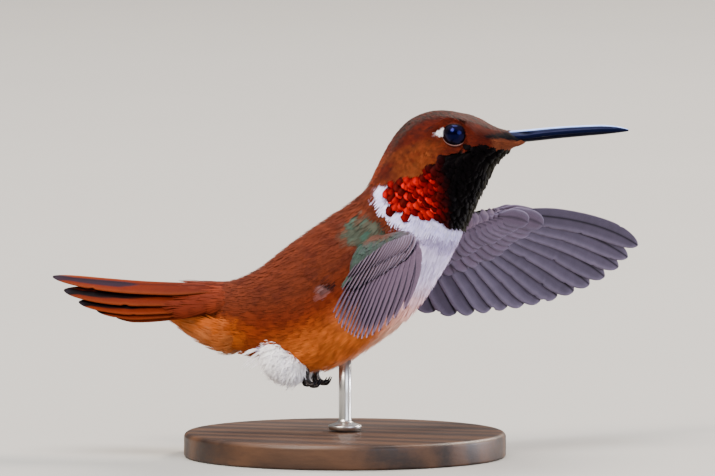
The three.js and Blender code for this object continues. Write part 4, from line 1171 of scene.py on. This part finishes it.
def wingMap(name, side):
    # places on the wing, by span, chord and height, as points of the bird
    stroke, droop, outerPitch = wing["held"][name]
    stroke, droop = math.radians(stroke), math.radians(droop)
    level = math.cos(droop)
    span = np.array([math.sin(stroke) * level, side * math.cos(stroke) * level, -math.sin(droop)])
    forward = np.array([math.cos(stroke), -side * math.sin(stroke), 0])
    up = np.cross(forward, span) * side
    root = onSide(wing["root"], side)

    def place(s, c, n):
        pitch = np.radians(mix(wing["rootPitch"], outerPitch, ramp(s, 0, wing["twistEnd"])))
        height = n - wing["camber"] * c * c
        along = c * np.cos(pitch) - height * np.sin(pitch)
        over = c * np.sin(pitch) + height * np.cos(pitch)
        return root + s[..., None] * span + along[..., None] * forward + over[..., None] * up
    return place


def wingShafts():
    # root, tip, bow and width of each flight feather from the outermost primary inwards
    between = lambda line, w: mix(np.array(line[0]), np.array(line[1]), w)
    outline = np.array([(s, c, 0) for s, c in wing["outline"]])
    total = wing["primaries"] + wing["secondaries"]
    shafts = []
    for i in range(total):
        share = i / (total - 1)
        inner = i - wing["primaries"]
        root = (between(wing["hand"], i / (wing["primaries"] - 1)) if inner < 0
                else between(wing["forearm"], inner / (wing["secondaries"] - 1)))
        tip = smoothThrough(outline, np.array([share ** 0.9]))[0, :2]
        bow = wing["bow"] * (1 - i / wing["primaries"]) ** 1.3 if inner < 0 else 0.0
        shafts.append((root, tip, bow, mix(wing["outerWidth"], wing["innerWidth"], min(1, share * 2.5))))
    return shafts


def wingFeather(toPart, root, tip, bow, lift):
    run = tip - root
    knee = root + run * 0.6 + unit(np.array([-run[1], run[0]])) * bow

    def place(l, across, off):
        w = l[..., None]
        at = root * (1 - w) ** 2 + knee * 2 * w * (1 - w) + tip * w * w
        along = unit((knee - root) * (1 - w) + (tip - knee) * w)
        raised = across * math.tan(math.radians(wing["tilt"])) * ramp(l, 0, 0.3)
        s, c = at[..., 0] - along[..., 1] * across, at[..., 1] + along[..., 0] * across
        return toPart(s, c, lift + off + raised)
    return place, float(np.linalg.norm(run))


def inMillimetres(u, v):
    # the scale of a surface whose two coordinates are millimetres
    return np.ones(len(u)), np.ones(len(u))


def armShape(s):
    # the arm's middle, half chord and half thickness at places along the span
    table = np.array(wing["arm"])
    return [np.interp(s, table[:, 0], table[:, k]) for k in (1, 2, 3)]


def armHeight(s, c):
    # half thickness of the arm below a place on the wing, never less than the bases of the vanes
    centre, reach, thick = armShape(s)
    inside = np.clip(1 - ((c - centre) / reach) ** 2, 0, 1)
    return np.maximum(thick * np.sqrt(inside), 0.3 * ramp(c, centre + reach * 1.1, centre))


def makeFlightFeathers(name, side, toPart, shafts, c):
    parts = []
    for i, (root, tip, bow, width) in enumerate(shafts):
        place, length = wingFeather(toPart, root, tip, bow, 0)
        sheet = vaneSheet(place, width, 0.42, 56, 13, 0.3, 0.2, 0.13, 3)
        edge = 0.8 * ramp(-sheet["q"], 0.5, 1) + 0.6 * ramp(sheet["l"], 0.93, 1)
        tone = blend(c["dusky"], c["duskyEdge"], np.clip(edge, 0, 1))
        tone = blend(tone, c["under"], 0.25 * sheet["under"])
        tone = tone * blend(np.array(wing["upperCast"]), 1, sheet["under"])
        tone = blend(tone, c["shaft"], hump(sheet["across"], 0, 0.14)) * (1 + 0.06 * chance.normal())
        parts.append(finishVane(sheet, tone, length, i, len(shafts), side < 0))
    joinVanes("wingFlight_" + name, parts, wingVanes, ("wing_" + name,))


def makeWingCoverts(name, side, toPart, shafts, c):
    parts = []
    total = 2 * len(wing["tiers"]) * len(shafts)
    for face in (1, -1):
        base = c["coverts"] * wing["upperCast"] if face > 0 else c["under"]
        for reach, width, height in wing["tiers"]:
            for i, (root, tip, bow, _) in enumerate(shafts):
                share = reach * mix(0.8, 1.5, ramp(i, 2, len(shafts) - 1))
                short = root + (tip - root) * share * chance.uniform(0.94, 1.06)
                place, length = wingFeather(toPart, root, short, bow * share, face * height)
                sheet = vaneSheet(place, width * 0.9, 0.45, 18, 9, 0.4, 0.16, 0.08, 1)
                edge = 0.7 * ramp(np.abs(sheet["q"]), 0.6, 1) + 0.3 * ramp(sheet["l"], 0.85, 1)
                tone = blend(base, c["duskyEdge"], edge)
                tone = blend(tone, c["shaft"], 0.6 * hump(sheet["across"], 0, 0.12))
                tone = tone * (1 + 0.08 * chance.normal())
                parts.append(finishVane(sheet, tone, length, len(parts), total, side < 0))
    joinVanes("wingCoverts_" + name, parts, wingVanes)


def makeArm(name, side, toPart, c):
    # a bare arm that fills the space below the small coverts
    rows, around = 60, 28
    s = np.linspace(*wing["armRun"], rows)
    centre, reach, thick = [part[:, None] for part in armShape(s)]
    turn = onceRound(around)[None] * -side
    close = np.sqrt(np.clip(1 - ((s - s.mean()) / (np.ptp(s) / 2)) ** 8, 0.02, 1))[:, None]
    chord, over = centre + (reach - 0.3) * close * np.cos(turn), (thick - 0.25) * close * np.sin(turn)
    points = toPart(np.broadcast_to(s[:, None], (rows, around)), chord, over)
    points, faces = closeEnds(points, rows, around, [points[0].mean(0), points[-1].mean(0)])
    # painted shade: the arm takes the coverts' colour darkened to 0.4, as it shows only in the gaps under
    # them
    makePiece("wingArm_" + name, points, faces, underSkin,
              tint=np.broadcast_to(c["coverts"] * 0.4, points.shape))


def makeShoulder(name, toPart, c):
    # rows of small round coverts over both faces of the arm
    kinds = [scaleFeather(6, 5, 0.04, 0.12, [0.6, 0.8, 1.0, 1.2, 1.5]) for _ in range(5)]
    for face, label in ((1, "Above"), (-1, "Below")):
        surface = {"point": lambda u, v, lift: toPart(v, u, face * (armHeight(v, u) + lift)),
                   "scale": inMillimetres,
                   "flat": lambda u, v: np.stack([0.5 + v / 60, 0.5 + u / 40], -1)}
        u, v = [], []
        for k, at in enumerate(np.arange(wing["armRun"][0], wing["armRun"][1] + 0.2, 0.72)):
            middle, half, _ = armShape(at)
            along = np.arange(middle + half * 0.97, middle - half * 1.25, -0.8) - 0.4 * (k % 2)
            u.append(along + chance.uniform(-0.1, 0.1, len(along)))
            v.append(np.full(len(along), at) + chance.uniform(-0.15, 0.15, len(along)))
        u, v = np.concatenate(u), np.concatenate(v)
        middle, half, _ = armShape(v)
        front = np.clip((u - middle) / half, -1, 1)
        green = ramp(13 - v, 0, 8) * (0.5 + 0.5 * chance.random(len(v)))
        if face > 0:
            tint = blend(c["coverts"], c["shoulder"], green * 0.9)
            tint = blend(tint, c["shoulderRufous"], 0.7 * ramp(front, 0.3, 0.9) * ramp(9 - v, 0, 4))
        else:
            tint = blend(c["under"], c["shoulderRufous"], ramp(10 - v, 0, 8))
        turn = np.radians(mix(5, 55, ramp(v, 0, 14)))
        layFeathers("wingShoulder" + label + "_" + name, surface, kinds, u, v, 1.9, 1.45, turn, -0.05, 0.3,
                    tint, greenFoil if face > 0 else bodyDown, ruffle=0.06)


def makeWing(name, side):
    toPart = wingMap(name, side)
    shafts = wingShafts()
    c = colours(wing)
    makeFlightFeathers(name, side, toPart, shafts, c)
    makeWingCoverts(name, side, toPart, shafts, c)
    makeArm(name, side, toPart, c)
    makeShoulder(name, toPart, c)


for name, side in sides.items():
    makeWing(name, side)

leg = {
    "puffAt": (-8.3, 3.05, 13.7), "puffRadii": (2.4, 3.7, 2.8), "puffTrail": 43, "tufts": 1250,
    "ankle": (-4.8, 2.3, 12.2), "toeRadius": 0.27, "clawTip": 0.05, "shin": 0.38,
    # side spread, then x and z steps from the ankle; the last stretch is the claw
    "toes": [(0.75, [(0, 0), (-0.2, -1.0), (0.3, -1.8), (1.1, -1.8), (1.6, -1.1)]),
             (-0.75, [(0, 0), (-0.2, -1.0), (0.3, -1.8), (1.1, -1.8), (1.6, -1.1)]),
             (0.0, [(0, 0), (-0.1, -1.2), (0.5, -2.1), (1.5, -2.0), (2.1, -1.1)]),
             (0.1, [(0, 0), (-0.5, -0.6), (-0.8, -1.3), (-0.5, -2.0), (0.1, -2.2)])],
    # loose white plumes behind the thigh: where they start, then the place and length of each
    "wispsAt": (-11.2, 4.0, 15.0), "wisps": [(-0.6, 3.6), (-0.1, 4.6), (0.5, 4.2), (1.2, 3.2)],
    "skin": "#1c1414", "claw": "#0c0a0c", "down": "#fdfaff", "thighSkin": "#d8d0d8",
}


def tubeAlong(path, radius, around, flatten=1.0):
    # a closed tube round a path of points, with one radius for each point
    along = unit(np.gradient(path, axis=0))
    across = unit(np.cross(along, [0.0, 1.0, 0.001]))
    over = np.cross(along, across)
    turn = onceRound(around)[None, :, None]
    ring = np.cos(turn) * across[:, None] + np.sin(turn) * over[:, None] * flatten
    points = path[:, None] + ring * np.asarray(radius)[:, None, None]
    return closeEnds(points, len(path), around, [path[0], path[-1]])


def joinTubes(name, tubes, material, nodes, colour):
    shift = np.cumsum([0] + [len(points) for points, _ in tubes[:-1]])
    quads, caps = [np.concatenate([faces[k] + s for (_, faces), s in zip(tubes, shift)]) for k in (0, 1)]
    points = np.concatenate([points for points, _ in tubes])
    makePiece(name, points, [quads, caps], material, nodes,
              tint=np.broadcast_to(linear(colour), points.shape))


def makeFoot(name, side):
    ankle = onSide(leg["ankle"], side)
    down = np.linspace(0, 1, 16)
    shinPath = ankle + smoothThrough([(-0.7, 0, 2.2), (-0.3, 0, 0.9), (-0.1, 0, -0.35)], down)
    toes, claws = [tubeAlong(shinPath, leg["shin"] * np.sqrt(1.02 - down ** 6), 16)], []
    share = np.linspace(0, 1, 61)
    toeEnd, nailStart = 47, 43  # the claw starts inside the end of the toe
    joints = 1 + 0.16 * sum(hump(share, at, 0.035) for at in (0.28, 0.5, 0.7))
    scutes = 1 + 0.05 * np.sin(share * 2 * np.pi * 17)
    radius = leg["toeRadius"] * mix(1.0, 0.72, share) * joints * scutes
    for spread, steps in leg["toes"]:
        way = [(ankle[0] + x, ankle[1] + spread * min(1, k / 2), ankle[2] + z)
               for k, (x, z) in enumerate(steps)]
        path = smoothThrough(way, share)
        toes.append(tubeAlong(path[:toeEnd], radius[:toeEnd], 14))
        nail = path[nailStart:]
        taper = np.linspace(0, 1, len(nail)) ** 1.3
        claws.append(tubeAlong(nail, mix(leg["toeRadius"] * 0.66, leg["clawTip"], taper), 12, 0.8))
    joinTubes("toes_" + name, toes, toeSkin, ("foot_" + name,), leg["skin"])
    joinTubes("claws_" + name, claws, clawHorn, (), leg["claw"])


def makeThigh(name, side):
    # the thigh's tuft of down: an egg of skin, and plumes that all trail down and back
    trail = math.radians(leg["puffTrail"])
    centre = onSide(leg["puffAt"], side)
    heading = np.array([-math.cos(trail), 0.0, -math.sin(trail)])
    first = unit(np.cross(heading, [0.0, 1.0, 0.0]))
    second = np.cross(heading, first)
    radii = np.array(leg["puffRadii"])

    def puffPoint(u, v, lift):
        # u is the angle from the trailing tip, v the turn round it
        turned = np.stack([np.cos(u), np.sin(u) * np.cos(v), np.sin(u) * np.sin(v)], -1)
        way = turned[..., :1] * heading + turned[..., 1:2] * first + turned[..., 2:] * second
        reach = 1 / np.sqrt(((turned / radii) ** 2).sum(-1, keepdims=True))
        return centre + way * (reach * 0.94 + lift[..., None])

    puff = {"point": puffPoint,
            "scale": lambda u, v: (np.full(len(u), 3.0), 3.0 * np.maximum(np.sin(u), 0.25)),
            "flat": lambda u, v: np.stack([0.5 + v / 8, 0.1 + u / 4], -1)}
    rows, around = 30, 36
    u, v = np.meshgrid(np.linspace(0.05, np.pi - 0.05, rows), onceRound(around), indexing="ij")
    points = puffPoint(u, v, np.full(u.shape, -0.45))
    points, faces = closeEnds(points, rows, around, [points[0].mean(0), points[-1].mean(0)])
    makePiece("thighSkin_" + name, points, faces, underSkin, ("thigh_" + name,),
              tint=np.broadcast_to(linear(leg["thighSkin"]), points.shape))
    kinds = [barbedPlume(9, 0.45, 0.08, 1.5) for _ in range(8)]
    count = leg["tufts"]
    goldenAngle = 2.39996  # spreads the roots evenly
    u = np.arccos(1 - 1.95 * (np.arange(count) + 0.5) / count)
    v = (np.arange(count) * goldenAngle) % (2 * np.pi)
    layFeathers("thighDown_" + name, puff, kinds, u, v, 3.0, 1.3, 0.3 * chance.normal(size=count), -0.45, 0.5,
                linear(leg["down"]), whiteDown, ruffle=0.45)


def makeWisps(name, side):
    # a few loose white plumes that hang behind the thigh
    start = onSide(leg["wispsAt"], side)
    back, down, out = np.array([(-0.86, -side * 0.12, -0.5), (0.5, 0.0, -0.86), (0.0, side, 0.0)])

    def hang(u, v, lift):
        sag = 0.03 * u ** 2
        return start - u[..., None] * back + (v + sag)[..., None] * down + lift[..., None] * out

    wisps = {"point": hang, "scale": inMillimetres,
             "flat": lambda u, v: np.stack([0.5 + v / 10, 0.5 + u / 20], -1)}
    v, long = np.array(leg["wisps"]).T
    n = len(v)
    kinds = [barbedPlume(5, 0.2, 0.12, 0.9) for _ in range(3)]
    turn = 0.12 * chance.normal(size=n)
    layFeathers("ventWisps_" + name, wisps, kinds, np.zeros(n), v, long, 0.5, turn, 0.0, 0.15,
                linear(leg["down"]), whiteDown)


for name, side in sides.items():
    makeFoot(name, side)
    makeThigh(name, side)
    makeWisps(name, side)
print("legs made")

stand = {"radius": 23, "height": 3.5, "edge": 0.7, "rodRadius": 0.9, "rodTop": 14.5, "footRadius": 2.4,
         "footHeight": 1.1, "gap": 0.3}


def sweepRound(profile, around):
    # rings of points round the upright axis through a profile of [radius, height]
    turn = onceRound(around)
    return np.stack([profile[:, :1] * np.cos(turn), profile[:, :1] * np.sin(turn),
                     np.broadcast_to(profile[:, 1:], (len(profile), around))], -1)


def turned(name, profile, around, material, slot, node):
    # a turned piece from a profile that starts and ends on the axis
    profile = np.array(profile, float)
    points = sweepRound(profile[1:-1], around)
    points, faces = closeEnds(points, len(points), around, [(0, 0, profile[0, 1]), (0, 0, profile[-1, 1])])
    makePiece(name, points, faces, material, (node,))


def rounded(corner, radius, start, end, steps):
    # points on a small round between two faces, angles in degrees
    angles = np.radians(np.linspace(start, end, steps))
    return [(corner[0] + radius * math.cos(w), corner[1] + radius * math.sin(w)) for w in angles]


def makeStand():
    r, h, e = stand["radius"], stand["height"], stand["edge"]
    base = [(0, 0), (r - 0.9, 0), *rounded((r - 0.35, 0.35), 0.35, -90, 0, 5),
            *rounded((r - e, h - e), e, 0, 90, 8), (r - 1.6, h), (r - 4, h), (r - 10, h), (5, h), (0, h)]
    turned("standBase", base, 160, oiledWalnut("oiledWalnut"), "base_wood", "stand_base")
    low = h + stand["gap"]
    top = low + stand["footHeight"]
    foot, rod = stand["footRadius"], stand["rodRadius"]
    profile = [(0, low), (foot - 0.1, low), *rounded((foot - 0.2, low + 0.5), 0.2, 0, 60, 4),
               (rod + 0.45, top - 0.1), (rod + 0.08, top + 0.1), (rod, top + 0.5), (rod, 9),
               (rod, stand["rodTop"] - 0.1), (0, stand["rodTop"])]
    turned("standRod", profile, 48, brushedSteel("brushedSteelRod"), "rod_steel", "stand_rod")


makeStand()
print("stand made")

studio = {
    "azimuth": 18, "elevation": 4, "distance": 1500, "pixelsPerMillimetre": 7.0, "imageWidth": 715,
    "aimRight": 1.786, "aimUp": 31.14, "sensor": 36, "floor": ("#969490", "#9b9995"),
    # a round pale bowl: radius and height of a flat floor that curves up to a wall a long way off
    "bowl": [(2600, 0), (3600, 0), (4200, 120), (4700, 480), (5000, 1100), (5100, 2000), (5100, 3400)],
    # place, width, strength at the bird and colour of each soft light
    "lights": {"key": ((-620, -1500, 1550), 1100, 1.95, "#fff5e8"),
               "fill": ((1750, -1350, 700), 1400, 0.7, "#e8efff"),
               "rim": ((850, 1450, 1300), 800, 2.0, "#fff0e0"),
               "top": ((-150, 150, 2100), 1500, 1.5, "#ffffff"),
               "back": ((1500, 1100, 250), 500, 0.9, "#f2f2ff")},
    "sky": ("#dfe4ee", 0.95), "lightAim": (2, 0, 30),
}


def makeStage():
    # a bowl of painted plaster: matt and faintly clouded, so that nothing shines behind the bird
    around = 96
    fine = smoothThrough(studio["bowl"], np.linspace(0, 1, 40))
    fine[:, 1] = np.maximum(fine[:, 1], 0)
    rings = np.vstack([[0.5, 0], fine]) - [0, 0.02]
    points = sweepRound(rings, around).reshape(-1, 3)
    material, tree = newMaterial("palePaintedPlaster")
    spot = addNode(tree, "ShaderNodeTexCoord")
    cloud = addNode(tree, "ShaderNodeTexNoise", {"Scale": 6.0, "Detail": 3.0},
                    {"Vector": spot.outputs["Object"]})
    colour = addNode(tree, "ShaderNodeValToRGB", links={"Fac": cloud.outputs["Fac"]})
    for element, value in zip(colour.color_ramp.elements, studio["floor"]):
        element.color = opaque(linear(value))
    surface = addNode(tree, "ShaderNodeBsdfPrincipled", {"Roughness": 0.85, "Specular IOR Level": 0.2},
                      {"Base Color": colour.outputs[0]})
    ending(tree, surface)
    mesh = bpy.data.meshes.new("studioFloor")
    faces = [tuple(f) for f in gridFaces(len(rings), around, closed=True)] + [tuple(range(around))[::-1]]
    mesh.from_pydata([tuple(p * mm) for p in points], [], faces)
    mesh.shade_smooth()
    mesh.materials.append(material)
    floor = bpy.data.objects.new("studioFloor", mesh)
    bpy.context.scene.collection.objects.link(floor)


def makeLights():
    aim = Vector(studio["lightAim"])
    for name, (place, width, strength, colour) in studio["lights"].items():
        place = Vector(place)
        data = bpy.data.lights.new(name + "Light", "AREA")
        data.shape = "DISK"
        data.size = width * mm
        data.energy = strength * math.pi ** 2 * ((place - aim).length * mm) ** 2
        data.color = [float(v) for v in linear(colour)]
        lamp = bpy.data.objects.new(name + "Light", data)
        lamp.location = place * mm
        lamp.rotation_mode = "QUATERNION"
        lamp.rotation_quaternion = (aim - place).to_track_quat("-Z", "Y")
        lamp.visible_camera = False
        bpy.context.scene.collection.objects.link(lamp)
    world = bpy.data.worlds.new("studioAir")
    bpy.context.scene.world = world
    world.use_nodes = True
    air = world.node_tree.nodes["Background"].inputs
    air[0].default_value = opaque(linear(studio["sky"][0]))
    air[1].default_value = studio["sky"][1]


def makeCamera():
    a, e = math.radians(studio["azimuth"]), math.radians(studio["elevation"])
    back = np.array([math.sin(a) * math.cos(e), -math.cos(a) * math.cos(e), math.sin(e)])
    right = np.array([math.cos(a), math.sin(a), 0])
    target = right * studio["aimRight"] + np.cross(back, right) * studio["aimUp"]
    pictureWidth = studio["imageWidth"] / studio["pixelsPerMillimetre"]  # mm across the picture at the bird
    data = bpy.data.cameras.new("camera")
    data.sensor_width = studio["sensor"]
    data.lens = studio["sensor"] * studio["distance"] / pictureWidth
    data.clip_start, data.clip_end = 0.05, 30
    camera = bpy.data.objects.new("camera", data)
    camera.location = Vector(target + back * studio["distance"]) * mm
    camera.rotation_mode = "QUATERNION"
    camera.rotation_quaternion = Vector(-back).to_track_quat("-Z", "Y")
    bpy.context.scene.collection.objects.link(camera)
    bpy.context.scene.camera = camera


makeStage()
makeLights()
makeCamera()
print("studio ready")
